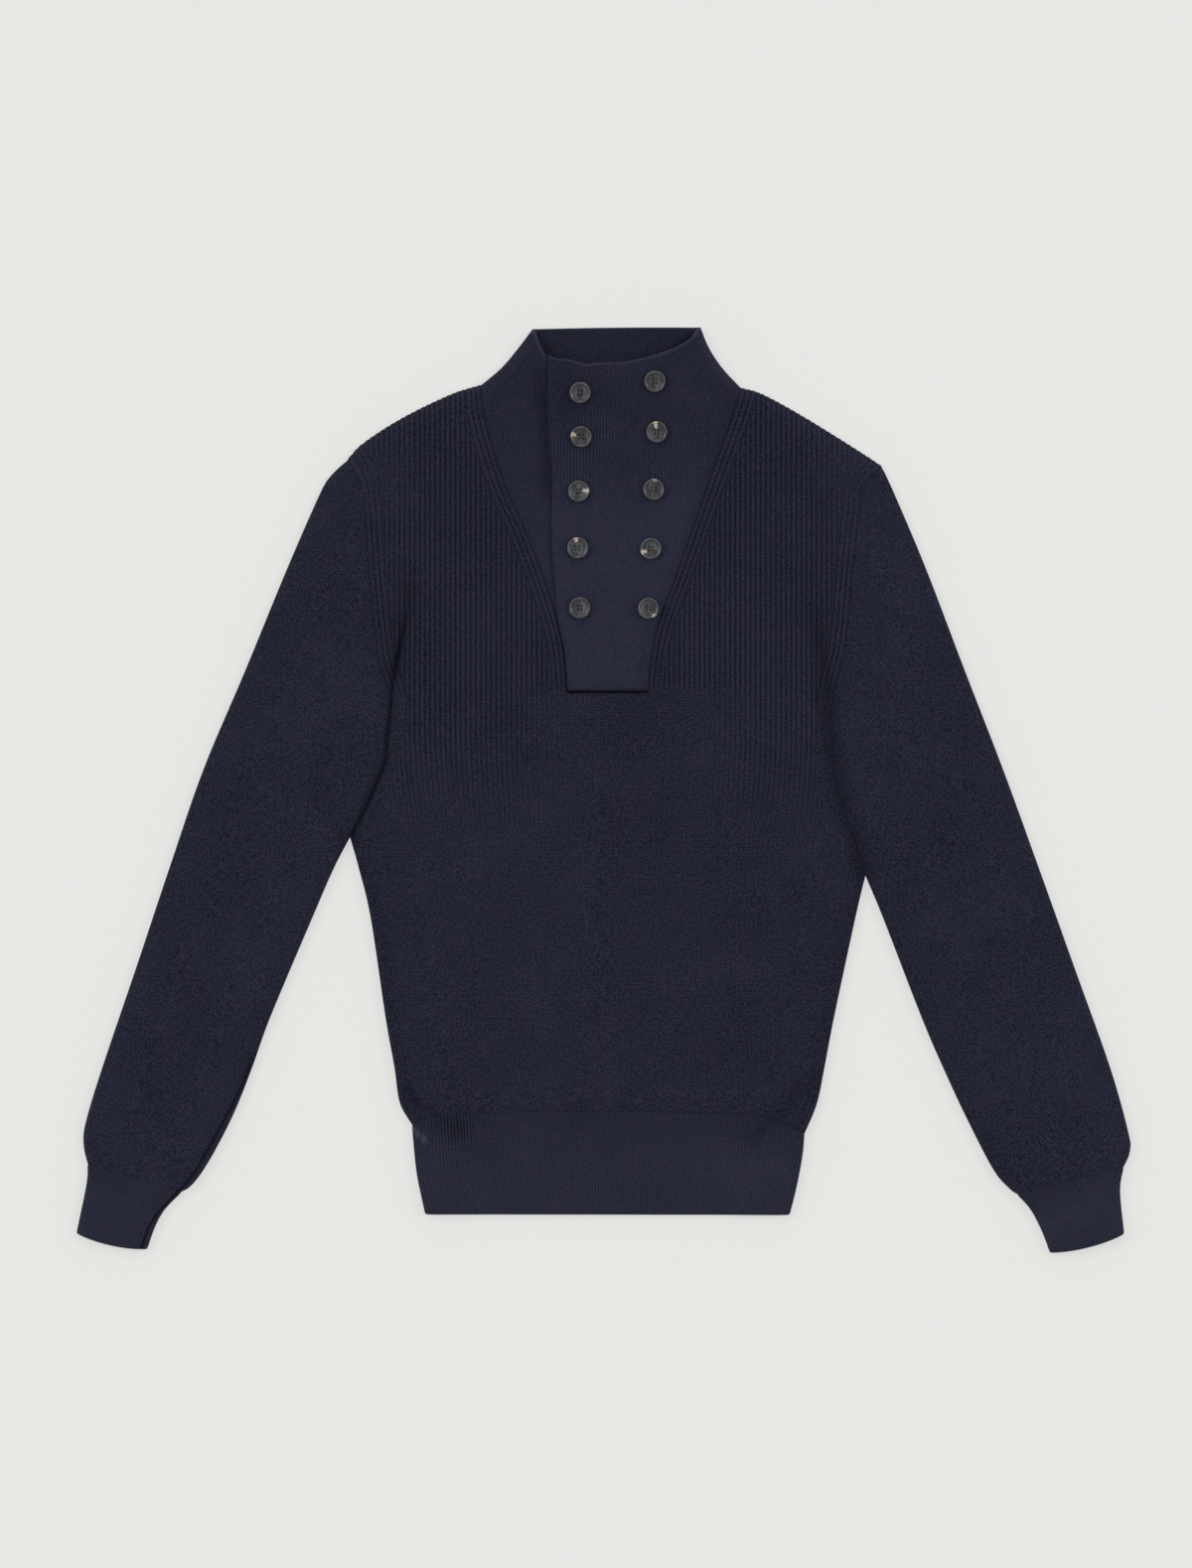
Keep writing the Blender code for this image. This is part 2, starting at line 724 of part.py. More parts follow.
def front_half(mesh, side):
    """The part of the front beside the V, with its seam along the V and its shoulder closed."""
    outer_rows, inner_rows = [], []
    for index in range(HALF_COUNT):
        row = body_row(index, side, side)
        ways = [(side_way(side, index),), (v_way(side, index),)]
        if side == "right":
            ways.reverse()
        outer, inner = front_row(mesh, row, *ways)
        outer_rows.append(outer)
        inner_rows.append(inner)
    for rows in (outer_rows, inner_rows):
        for above, below in zip(rows, rows[1:]):
            strip(mesh, above, below)
    close_rim(mesh, outer_rows[0], inner_rows[0])
    close_sides(mesh, outer_rows, inner_rows, 0)
    close_sides(mesh, outer_rows, inner_rows, -1)
    return outer_rows[-1], inner_rows[-1]


def v_bottom(mesh):
    """Vertices along the level bottom of the V, between its corners."""
    left, right = V_PLACES["left"][-1], V_PLACES["right"][-1]
    below = np.array((0.0, -1.0))
    outer, inner = [], []
    for _, x, crest in rib_stations(left[0], right[0], BODY_RIB_PITCH, 0):
        outer.append((x, shifted(upper(x, left[1], relief=crest * BODY_RIB_HEIGHT), below)[OUTER]))
    for x in plain_stations(left[0], right[0], INSIDE_PITCH, INSIDE_EDGE_STATIONS):
        inner.append((x, shifted(upper(x, left[1]), below)[INNER]))
    return add_row(mesh, outer), add_row(mesh, inner)


def by_x_inside(row):
    """A joined row keyed by x, but by place along both edge bands, as the rows below it are."""
    band = 2 * EDGE_RIBS + 1
    middle = keyed_by_x(row)[band:-band]
    return [*row[:band], *middle, *row[-band:]]


def make_front():
    """The front: two halves beside the V and one panel below it."""
    mesh = bmesh.new()
    left_outer, left_inner = front_half(mesh, "left")
    right_outer, right_inner = front_half(mesh, "right")
    middle_outer, middle_inner = v_bottom(mesh)
    strip(
        mesh,
        keyed_by_x([left_outer[-1], *middle_outer, right_outer[0]]),
        keyed_by_x([left_inner[-1], *middle_inner, right_inner[0]]),
    )
    outer_rows = [by_x_inside([*left_outer, *middle_outer, *right_outer])]
    joined = [*left_inner, *middle_inner, *right_inner]
    inner_rows = [[(-FAR, joined[0][1]), *keyed_by_x(joined)[1:-1], (FAR, joined[-1][1])]]
    for index in range(HALF_COUNT, LAST_ROW + 1):
        row = body_row(index, "left", "right")
        ways = ((side_way("left", index),), (side_way("right", index),))
        outer, inner = front_row(mesh, row, *ways, on_hem=index == LAST_ROW)
        outer_rows.append(outer)
        inner_rows.append(inner)
    for rows in (outer_rows, inner_rows):
        for above, below in zip(rows, rows[1:]):
            strip(mesh, above, below)
    close_rim(mesh, outer_rows[-1], inner_rows[-1])
    close_sides(mesh, outer_rows, inner_rows, 0)
    close_sides(mesh, outer_rows, inner_rows, -1)
    return finish_solid("front", mesh, KNIT_FINISH)


def neck_points():
    """The back neckline between the shoulder points."""
    left, right = V_PLACES["left"][0], V_PLACES["right"][0]
    middle_x = (left[0] + right[0]) / 2.0
    side_y = BACK_NECK_DIP_Y + BACK_NECK_SHOULDER_RISE
    return (
        tuple(left),
        (left[0] + (middle_x - left[0]) * BACK_NECK_TURN, side_y),
        (middle_x, BACK_NECK_DIP_Y),
        (right[0] + (middle_x - right[0]) * BACK_NECK_TURN, side_y),
        tuple(right),
    )


def back_top():
    """Shoulders and neckline as one run of places from left to right."""
    left = [at_share(SHOULDER["left"][::-1], share) for share in BACK_LEFT_SHARES]
    neck = [at_share(neck_points(), share) for share in np.linspace(0.0, 1.0, NECK_STATIONS)]
    right = [at_share(SHOULDER["right"], share) for share in BACK_RIGHT_SHARES]
    return left, neck, right


def make_back():
    """The back, flat underneath, with its edges turned up to the front's."""
    mesh = bmesh.new()
    left_top, neck_top, right_top = back_top()
    top_places = [*left_top, *neck_top, *right_top]
    first_x, last_x = top_places[0][0], top_places[-1][0]
    shares = [(place[0] - first_x) / (last_x - first_x) for place in top_places]
    bends = [
        place[1] - (top_places[0][1] + (top_places[-1][1] - top_places[0][1]) * share)
        for place, share in zip(top_places, shares)
    ]
    neck_range = range(len(left_top), len(left_top) + len(neck_top))
    outer_rows, inner_rows = [], []
    for index in range(LAST_ROW + 1):
        left, right = SIDE_PLACES["left"][index], SIDE_PLACES["right"][index]
        fade = max(0.0, 1.0 - index / (HALF_COUNT - 1.0))
        if index == LAST_ROW:
            places = hem_under_places()
        else:
            width = right[0] - left[0]
            near = [offset / width for offset in UNDER_EDGE_STATIONS]
            row_shares = list(shares)
            if index > 0:
                row_shares[1:3] = near
                row_shares[-3:-1] = [1.0 - share for share in reversed(near)]
            row_bends = np.interp(row_shares, shares, bends) * fade
            places = [
                (left[0] + width * share, left[1] + (right[1] - left[1]) * share + bend)
                for share, bend in zip(row_shares, row_bends)
            ]
        outer, inner = [], []
        for column, (x, y) in enumerate(places):
            points = end_points(lower(x, y), hem_way(x) if index == LAST_ROW else None)
            if column == 0:
                points = end_points(points, side_way("left", index))
            if column == len(places) - 1:
                points = end_points(points, side_way("right", index))
            if index == 0 and column in neck_range:
                points = end_points(points, (0.0, -1.0))
            outer.append((column, points[OUTER]))
            inner.append((column, points[INNER]))
        outer_rows.append(add_row(mesh, outer))
        inner_rows.append(add_row(mesh, inner))
    close_panel(mesh, outer_rows, inner_rows)
    return finish_solid("back", mesh, KNIT_FINISH)


def close_panel(mesh, outer_rows, inner_rows):
    """Faces of a panel whose outer and inner rows are alike in keys: both faces and four rims."""
    for rows in (outer_rows, inner_rows):
        for above, below in zip(rows, rows[1:]):
            strip(mesh, above, below)
    close_rim(mesh, outer_rows[0], inner_rows[0])
    close_rim(mesh, outer_rows[-1], inner_rows[-1])
    close_sides(mesh, outer_rows, inner_rows, 0)
    close_sides(mesh, outer_rows, inner_rows, -1)


def hem_under_places():
    """Places along the hem seam for the lower layer, as many as the back has columns."""
    left_top, neck_top, right_top = back_top()
    count = len(left_top) + len(neck_top) + len(right_top)
    left, right = np.array(HEM_SEAM[0]), np.array(HEM_SEAM[-1])
    between = np.linspace(left[0] + UNDER_EDGE_STATIONS[1], right[0] - UNDER_EDGE_STATIONS[1], count - 4)
    xs = [
        left[0],
        left[0] + UNDER_EDGE_STATIONS[0],
        *between,
        right[0] - UNDER_EDGE_STATIONS[0],
        right[0],
    ]
    return [(x, height_over(HEM_SEAM, x)) for x in xs]


def tube(name, outer_top, outer_under, inner_top, inner_under, finish):
    """A tube from rows of (key, point) that all run from its left fold to its right fold.

    The under rows leave out both folds, which belong to the top rows."""
    mesh = bmesh.new()
    shells = []
    for top_points, under_points in ((outer_top, outer_under), (inner_top, inner_under)):
        tops = [add_row(mesh, row) for row in top_points]
        unders = []
        for top, row in zip(tops, under_points):
            between = add_row(mesh, row)
            unders.append([(-FAR, top[0][1]), *between, (FAR, top[-1][1])])
        for rows in (tops, unders):
            for above, below in zip(rows, rows[1:]):
                strip(mesh, above, below)
        shells.append((tops, unders))
    for end in (0, -1):
        for layer in (0, 1):
            outer_row = shells[OUTER][layer][end]
            inner_row = shells[INNER][layer][end]
            close_rim(mesh, outer_row, inner_row)
    return finish_solid(name, mesh, finish)


def armhole_stations():
    """(sample index, share of the way to the next) for each column of a sleeve."""
    stations = []
    for index in range(UNDERARM_ROW):
        steps = SLEEVE_STEPS[index]
        stations += [(index, step / steps) for step in range(steps)]
    stations.append((UNDERARM_ROW, 0.0))
    return stations


def column_shares(side):
    """Each sleeve column's share of the way along the armhole seam."""
    samples = SIDE_PLACES[side][: UNDERARM_ROW + 1]
    lengths = [float(np.hypot(*(b - a))) for a, b in zip(samples, samples[1:])]
    travelled = np.concatenate(((0.0,), np.cumsum(lengths))) / sum(lengths)
    places = [index + share for index, share in armhole_stations()]
    return np.interp(places, range(len(samples)), travelled)


def between_points(first, second, share):
    """A point pair on the way between two point pairs."""
    return tuple(a + (b - a) * share for a, b in zip(first, second))


def sleeve_rows(side):
    """Plan places and wall points of a sleeve, ring by ring from the armhole to the cuff seam."""
    samples = SIDE_PLACES[side][: UNDERARM_ROW + 1]
    stations = armhole_stations()
    rings = []
    first = {"upper": [], "lower": []}
    for name, field in (("upper", upper), ("lower", lower)):
        ends = []
        for index, place in enumerate(samples):
            points = field(*place)
            ends.append(shifted(points, -side_way(side, index)))
        for index, share in stations:
            following = ends[min(index + 1, UNDERARM_ROW)]
            first[name].append(between_points(ends[index], following, share))
    rings.append(first)
    shares = column_shares(side)
    armhole = [
        samples[index] + (samples[min(index + 1, UNDERARM_ROW)] - samples[index]) * share
        for index, share in stations
    ]
    chord = [samples[0] + (samples[-1] - samples[0]) * share for share in shares]
    for number, (outer_y, inner_y) in enumerate(SLEEVE_RINGS[side]):
        outer_end = at_height(SLEEVE_OUTER[side], outer_y)
        inner_end = at_height(SLEEVE_INNER[side], inner_y)
        fade = ARMHOLE_FORM_FADES[number] if number < len(ARMHOLE_FORM_FADES) else 0.0
        is_last = number == len(SLEEVE_RINGS[side]) - 1
        ring = {"upper": [], "lower": []}
        for share, start, straight in zip(shares, armhole, chord):
            place = outer_end + (inner_end - outer_end) * share + fade * (start - straight)
            for name, field in (("upper", upper), ("lower", lower)):
                points = field(*place)
                if is_last:
                    points = shifted(points, cuff_up(side))
                ring[name].append(points)
        rings.append(ring)
    return rings


def cuff_up(side):
    """The plan direction from the cuff seam up the sleeve."""
    run = np.array(SLEEVE_INNER[side][-1]) - np.array(SLEEVE_OUTER[side][-1])
    way = np.array((-run[1], run[0])) * INTO_BODY[side]
    return way / np.hypot(*way)


def rows_of(rings, name, which, keep_ends):
    """(key, point) rows of one face of some rings."""
    rows = []
    for ring in rings:
        points = [pair[which] for pair in ring[name]]
        keyed = list(enumerate(points))
        rows.append(keyed if keep_ends else keyed[1:-1])
    return rows


def folds_at_edge_level(rings):
    """Puts the shared fold points of a tube at the folded edge's own level."""
    for ring in rings:
        for place in (0, -1):
            middle = between_points(ring["upper"][place], ring["lower"][place], 0.5)
            ring["upper"][place] = middle
    return rings


def make_sleeve(side):
    """A sleeve: a flattened tube from the armhole seam to the cuff seam."""
    rings = folds_at_edge_level(sleeve_rows(side))
    return tube(
        "sleeve_" + side,
        rows_of(rings, "upper", OUTER, True),
        rows_of(rings, "lower", OUTER, False),
        rows_of(rings, "upper", INNER, True),
        rows_of(rings, "lower", INNER, False),
        KNIT_FINISH,
    )


def make_cuff(side):
    """A cuff: a narrower ribbed tube that carries on from the sleeve's last ring."""
    outer_start, inner_start = np.array(CUFF_OUTER[side][0]), np.array(CUFF_INNER[side][0])
    shares = column_shares(side)
    up = cuff_up(side)
    rings = []
    ribbed = []
    for row in CUFF_ROWS:
        outer_end = outer_start if row == 0.0 else at_share(CUFF_OUTER[side], row)
        inner_end = inner_start if row == 0.0 else at_share(CUFF_INNER[side], row)
        ring = {"upper": [], "lower": []}
        for share in shares:
            drop = -up * CUFF_EDGE_DROP * row * bow(share)
            place = outer_end + (inner_end - outer_end) * share + drop
            for name, field in (("upper", upper), ("lower", lower)):
                points = field(*place)
                if row == 0.0:
                    points = shifted(points, -up)
                ring[name].append(points)
        rings.append(ring)
        ribbed.append(cuff_ribs(ring["upper"], shares))
    folds_at_edge_level(rings)
    for row, ring in zip(ribbed, rings):
        row[0] = (0, ring["upper"][0][OUTER])
        row[-1] = (2 * CUFF_RIBS, ring["upper"][-1][OUTER])
    return tube(
        "cuff_" + side,
        ribbed,
        rows_of(rings, "lower", OUTER, False),
        rows_of(rings, "upper", INNER, True),
        rows_of(rings, "lower", INNER, False),
        RIB_FINISH,
    )


def cuff_ribs(upper_points, shares):
    """Ribs along the upper face of a cuff, on the straight runs between its samples."""
    row = []
    outers = np.array([pair[OUTER] for pair in upper_points])
    for index in range(2 * CUFF_RIBS + 1):
        share = index / (2.0 * CUFF_RIBS)
        point = np.array([np.interp(share, shares, outers[:, axis]) for axis in range(3)])
        near_fold = min(index, 2 * CUFF_RIBS - index) / CUFF_RIBS_FLATTEN_FROM
        point[2] += (index % 2) * CUFF_RIB_HEIGHT * ease(near_fold)
        row.append((index, point))
    return row


def make_hem():
    """The hem band: a ribbed tube below the body."""
    seam_left, seam_right = np.array(HEM_SEAM[0]), np.array(HEM_SEAM[-1])
    inside_xs = plain_stations(seam_left[0], seam_right[0], INSIDE_PITCH, INSIDE_EDGE_STATIONS)
    under_xs = [x for x, _ in hem_under_places()][1:-1]
    outer_top, outer_under, inner_top, inner_under = [], [], [], []
    for row in HEM_ROWS:
        left = seam_left if row == 0.0 else at_share(HEM_SIDE["left"], row)
        right = seam_right if row == 0.0 else at_share(HEM_SIDE["right"], row)
        on_seam = row == 0.0

        def place(seam_x, left=left, right=right, row=row):
            """The plan place that hangs from an x of the seam."""
            share = (seam_x - seam_left[0]) / (seam_right[0] - seam_left[0])
            x = left[0] + (right[0] - left[0]) * share
            straight = left[1] + (right[1] - left[1]) * share
            seam_straight = seam_left[1] + (seam_right[1] - seam_left[1]) * share
            sag = height_over(HEM_SEAM, seam_x) - seam_straight
            return x, straight + sag * (1.0 - row)

        def way(seam_x, on_seam=on_seam):
            """The plan direction off the seam, on the band's first row alone."""
            return -hem_way(seam_x) if on_seam else None

        folds = []
        for end in (seam_left[0], seam_right[0]):
            pair = between_points(upper(*place(end)), lower(*place(end)), 0.5)
            folds.append(end_points(pair, way(end)))
        ribs = [(-FAR, folds[0][OUTER])]
        for index in range(1, 2 * HEM_RIBS):
            seam_x = seam_left[0] + (seam_right[0] - seam_left[0]) * index / (2.0 * HEM_RIBS)
            points = upper(*place(seam_x), relief=(index % 2) * HEM_RIB_HEIGHT)
            ribs.append((seam_x, end_points(points, way(seam_x))[OUTER]))
        ribs.append((FAR, folds[1][OUTER]))
        outer_top.append(ribs)
        inside = [(x, end_points(upper(*place(x)), way(x))[INNER]) for x in inside_xs]
        inner_top.append([(-FAR, folds[0][INNER]), *inside, (FAR, folds[1][INNER])])
        under = [(x, end_points(lower(*place(x)), way(x))) for x in under_xs]
        outer_under.append([(x, pair[OUTER]) for x, pair in under])
        inner_under.append([(x, pair[INNER]) for x, pair in under])
    return tube("hem_band", outer_top, outer_under, inner_top, inner_under, RIB_FINISH)


def make_collar_back():
    """The back of the collar, which shows its inside in the neck's mouth."""
    mesh = bmesh.new()
    neck = [at_share(neck_points(), share) for share in np.linspace(0.0, 1.0, NECK_STATIONS)]
    first_x, last_x = neck[0][0], neck[-1][0]
    seam_shares = [(place[0] - first_x) / (last_x - first_x) for place in neck]
    outer_rows, inner_rows = [], []
    for row in BACK_COLLAR_ROWS:
        left = at_share(COLLAR_SIDE["left"], row)
        right = at_share(COLLAR_SIDE["right"], row)
        is_seam = row == BACK_COLLAR_ROWS[-1]
        near = [offset / (right[0] - left[0]) for offset in UNDER_EDGE_STATIONS]
        shares = list(seam_shares)
        if not is_seam:
            shares[1:3] = near
            shares[-3:-1] = [1.0 - share for share in reversed(near)]
        outer, inner = [], []
        for column, share in enumerate(shares):
            straight = left + (right - left) * share
            rise = COLLAR_BACK_TOP_RISE * (1.0 - row) * bow(share)
            place = (straight[0], straight[1] + rise)
            if is_seam:
                place = neck[column]
            points = lower(*place)
            if is_seam:
                points = shifted(points, (0.0, 1.0))
            outer.append((column, points[OUTER]))
            inner.append((column, points[INNER]))
        outer_rows.append(add_row(mesh, outer))
        inner_rows.append(add_row(mesh, inner))
    close_panel(mesh, outer_rows, inner_rows)
    return finish_solid("collar_back", mesh, RIB_FINISH)


def collar_ends(side):
    """Outer ends of a collar front's rows: down the folded side, then down the V seam."""
    folded = [(at_share(COLLAR_SIDE[side], share), None) for share in COLLAR_SIDE_ROWS]
    seam = [(place, -v_way(side, index)) for index, place in enumerate(V_PLACES[side])]
    return [*folded, *seam]


def collar_row(mesh, row, lift_over, ways, ribs_between):
    """Outer and inner vertices of one row of a collar front, ribbed between two x values."""
    left_x, right_x = row.left[0], row.right[0]
    left = end_points(upper(*row.left, lift=lift_over(*row.left)), *ways[0])
    right = end_points(upper(*row.right, lift=lift_over(*row.right)), *ways[1])
    plain = plain_stations(left_x, right_x, INSIDE_PITCH, INSIDE_EDGE_STATIONS)
    first_x, last_x = ribs_between
    ribbed = [
        (x, crest)
        for _, x, crest in rib_stations(left_x, right_x, COLLAR_RIB_PITCH, 0)
        if first_x <= x <= last_x
    ]
    margin = COLLAR_RIB_PITCH / 2.0
    besides = [(x, 0) for x in plain if x < first_x - margin or x > last_x + margin]
    outer = [(-FAR, left[OUTER])]
    for x, crest in sorted(ribbed + besides):
        y = row.height(x)
        points = upper(x, y, relief=crest * COLLAR_RIB_HEIGHT, lift=lift_over(x, y))
        outer.append((x, end_points(points, ways[2])[OUTER]))
    outer.append((FAR, right[OUTER]))
    inner = [(-FAR, left[INNER])]
    for x in plain:
        y = row.height(x)
        inner.append((x, end_points(upper(x, y, lift=lift_over(x, y)), ways[2])[INNER]))
    inner.append((FAR, right[INNER]))
    return add_row(mesh, outer), add_row(mesh, inner)


def no_lift(x, y):
    """The lift of a piece that lies straight on the body's level."""
    return 0.0


def placket_foot_way(is_last):
    """The placket's last row stands off the bottom of the V."""
    return np.array((0.0, 1.0)) if is_last else None


def make_collar_under():
    """The left front of the collar, which runs on below the overlap."""
    mesh = bmesh.new()
    outer_rows, inner_rows = [], []
    ends = collar_ends("left")
    top_left = ends[0][0]
    top_right = np.array(
        (UNDERLAP_HIDDEN_X, height_over(COLLAR_FRONT_TOP, UNDERLAP_HIDDEN_X) - UNDERLAP_TOP_DROP)
    )
    foot_y = V_HEIGHTS["left"][-1]
    for number, (left, seam_way) in enumerate(ends):
        down = (top_left[1] - left[1]) / (top_left[1] - foot_y)
        right = np.array((UNDERLAP_HIDDEN_X, top_right[1] + (foot_y - top_right[1]) * down))
        is_last = number == len(ends) - 1
        share = max(0.0, 1.0 - down / COLLAR_TOP_FORM_ENDS)
        row = Row(left, right, UNDERLAP_TOP, share, (top_left, top_right))
        foot = placket_foot_way(is_last)
        ways = ((seam_way, foot), (foot,), foot)
        hidden_from = np.interp(left[1], OVERLAP_LINE[:, 1], OVERLAP_LINE[:, 0])
        outer, inner = collar_row(mesh, row, no_lift, ways, (left[0], hidden_from - COLLAR_RIB_PITCH))
        outer_rows.append(outer)
        inner_rows.append(inner)
    close_panel(mesh, outer_rows, inner_rows)
    return finish_solid("collar_under", mesh, RIB_FINISH)


def overlap_lift(x, y):
    """The overlap lies on the underlap, and comes down to the body along the right V."""
    if y > V_HEIGHTS["right"][0]:
        line = smooth_curve(COLLAR_SIDE["right"])[::-1]
        edge_x = np.interp(y, line[:, 1], line[:, 0])
    else:
        edge_x = at_height(NECK_V["right"], max(y, V_HEIGHTS["right"][-1]))[0]
    full = WALL + OVERLAP_CLEARANCE
    fullness = ease((edge_x - x) / OVERLAP_COMES_DOWN)
    return full * fullness


def overlap_left_end(down):
    """Left ends of the overlap's rows: down its free edge, then down the left V."""
    free_top, foot = OVERLAP_EDGE[0][1], V_HEIGHTS["left"][-1]
    y = free_top + (foot - free_top) * down
    free_end = OVERLAP_EDGE[-1][1]
    if y >= free_end:
        return at_height(OVERLAP_EDGE, y), None
    place = at_height(NECK_V["left"], y)
    return place, np.array((1.0, 0.0))


def make_collar_over():
    """The right front of the collar, whose overlap carries both rows of buttons."""
    mesh = bmesh.new()
    outer_rows, inner_rows = [], []
    ends = collar_ends("right")
    top_left = np.array(OVERLAP_EDGE[0])
    top_right = ends[0][0]
    for number, (right, seam_way) in enumerate(ends):
        down = (top_right[1] - right[1]) / (top_right[1] - V_HEIGHTS["right"][-1])
        left, left_way = overlap_left_end(down)
        is_last = number == len(ends) - 1
        share = max(0.0, 1.0 - down / COLLAR_TOP_FORM_ENDS)
        row = Row(left, right, COLLAR_FRONT_TOP, share, (top_left, top_right))
        foot = placket_foot_way(is_last)
        ways = ((left_way, foot), (seam_way, foot), foot)
        outer, inner = collar_row(mesh, row, overlap_lift, ways, (left[0], right[0]))
        outer_rows.append(outer)
        inner_rows.append(inner)
    close_panel(mesh, outer_rows, inner_rows)
    return finish_solid("collar_over", mesh, RIB_FINISH)


def underlap_top():
    """The underlap's top edge: the collar's, but lower where the overlap hides it."""
    points = []
    for x, y in COLLAR_FRONT_TOP:
        hidden = ease((x - COLLAR_FRONT_TOP[0][0]) / UNDERLAP_DROP_LENGTH)
        points.append((x, y - UNDERLAP_TOP_DROP * hidden))
    return tuple(points)


UNDERLAP_TOP = underlap_top()
OVERLAP_LINE = smooth_curve(OVERLAP_EDGE)[::-1]


def button_mesh():
    """A button lying on Z = 0: a turned dish with a rim, and four holes through it."""
    mesh = bmesh.new()
    radius = BUTTON_DIAMETER / 2.0
    rim = radius - BUTTON_RIM_WIDTH
    profile = (
        (radius - BUTTON_FOOT_INSET, 0.0),
        (radius, BUTTON_WIDEST_Z),
        (radius - BUTTON_RIM_INSET, BUTTON_THICKNESS),
        (rim, BUTTON_THICKNESS - BUTTON_DISH),
    )
    rings = []
    for ring_radius, z in profile:
        ring = []
        for index in range(BUTTON_SIDES):
            angle = 2.0 * math.pi * index / BUTTON_SIDES
            place = Vector((ring_radius * math.cos(angle), ring_radius * math.sin(angle), z))
            ring.append(mesh.verts.new(place * MM))
        rings.append(ring)
    for lower_ring, upper_ring in zip(rings, rings[1:]):
        for index in range(BUTTON_SIDES):
            following = (index + 1) % BUTTON_SIDES
            mesh.faces.new(
                (lower_ring[index], lower_ring[following], upper_ring[following], upper_ring[index])
            )
    mesh.faces.new(rings[0])
    mesh.faces.new(rings[-1])
    bmesh.ops.recalc_face_normals(mesh, faces=mesh.faces)
    data = bpy.data.meshes.new("button")
    mesh.to_mesh(data)
    mesh.free()
    return data


def hole_cutter():
    """Four upright pins, one for each hole of a button."""
    mesh = bmesh.new()
    offset = BUTTON_HOLE_SPACING / 2.0
    for x in (-offset, offset):
        for y in (-offset, offset):
            place = Matrix.Translation(Vector((x, y, BUTTON_THICKNESS / 2.0)) * MM)
            bmesh.ops.create_cone(
                mesh,
                cap_ends=True,
                segments=BUTTON_HOLE_SIDES,
                radius1=BUTTON_HOLE_DIAMETER / 2.0 * MM,
                radius2=BUTTON_HOLE_DIAMETER / 2.0 * MM,
                depth=3.0 * BUTTON_THICKNESS * MM,
                matrix=place,
            )
    data = bpy.data.meshes.new("button_holes")
    mesh.to_mesh(data)
    mesh.free()
    cutter = bpy.data.objects.new("button_holes", data)
    cutter.hide_render = True
    cutter.display_type = "WIRE"
    bpy.context.scene.collection.objects.link(cutter)
    return cutter


def surface_height(x, y):
    """The height of the overlap's rib crests."""
    return upper(x, y, relief=COLLAR_RIB_HEIGHT, lift=overlap_lift(x, y))[OUTER][2]


def button_seat(x, y):
    """The place and tilt at which a button just clears the overlap."""
    reach = BUTTON_DIAMETER / 2.0
    slope_x = (surface_height(x + reach, y) - surface_height(x - reach, y)) / (2.0 * reach)
    slope_y = (surface_height(x, y + reach) - surface_height(x, y - reach)) / (2.0 * reach)
    middle = surface_height(x, y)
    highest = 0.0
    for share in BUTTON_SEAT_RINGS:
        for step in range(BUTTON_SEAT_PLACES):
            angle = 2.0 * math.pi * step / BUTTON_SEAT_PLACES
            dx, dy = share * reach * math.cos(angle), share * reach * math.sin(angle)
            plane = middle + slope_x * dx + slope_y * dy
            highest = max(highest, surface_height(x + dx, y + dy) - plane)
    up = Vector((-slope_x, -slope_y, 1.0)).normalized()
    turn = Vector((0.0, 0.0, 1.0)).rotation_difference(up)
    place = Vector((x, y, middle + highest + BUTTON_CLEARANCE)) * MM
    return place, turn


def make_buttons():
    """Ten buttons, each tilted as the overlap lies below it."""
    cutter = hole_cutter()
    data = button_mesh()
    colour, roughness = BUTTON_FINISH
    material = bpy.data.materials.new("button_finish")
    material.use_nodes = True
    shader = material.node_tree.nodes["Principled BSDF"]
    shader.inputs["Base Color"].default_value = colour
    shader.inputs["Roughness"].default_value = roughness
    shader.inputs["Metallic"].default_value = 0.0
    data.materials.append(material)
    holder = bpy.data.objects.new("button_rows", None)
    bpy.context.scene.collection.objects.link(holder)
    for name, (x, y) in BUTTONS.items():
        button = bpy.data.objects.new(name, data)
        bpy.context.scene.collection.objects.link(button)
        button.parent = holder
        button.rotation_mode = "QUATERNION"
        place, turn = button_seat(x, y)
        button.location = place
        button.rotation_quaternion = turn
        holes = cutter.copy()
        holes.name = name + "_holes"
        holes.hide_render = True
        holes.display_type = "WIRE"
        bpy.context.scene.collection.objects.link(holes)
        holes.rotation_mode = "QUATERNION"
        holes.location = place
        holes.rotation_quaternion = turn
        cut = button.modifiers.new("holes", "BOOLEAN")
        cut.operation = "DIFFERENCE"
        cut.object = holes
    bpy.data.objects.remove(cutter, do_unlink=True)


def clear_scene():
    """Removes what the scene starts with."""
    for thing in list(bpy.data.objects):
        bpy.data.objects.remove(thing, do_unlink=True)


def main():
    """Builds every piece of the sweater."""
    clear_scene()
    make_front()
    make_back()
    for side in ("left", "right"):
        make_sleeve(side)
        make_cuff(side)
    make_hem()
    make_collar_back()
    make_collar_under()
    make_collar_over()
    make_buttons()


main()
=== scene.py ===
"""High neck sweater laid flat on its back: its looks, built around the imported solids.

Plan places and lengths are millimetres, +Y towards the neck, until a mesh is made. Every piece of
cloth is a knitted wall. Its places come from a grid of columns, which follow the ribs, and of rows,
which follow the courses, laid over one height field that both layers share.
"""

import logging
import math
from dataclasses import dataclass
from enum import Enum
from functools import cached_property
from typing import Callable, ClassVar, Sequence

import bmesh
import bpy
import numpy as np
from mathutils import Matrix, Vector


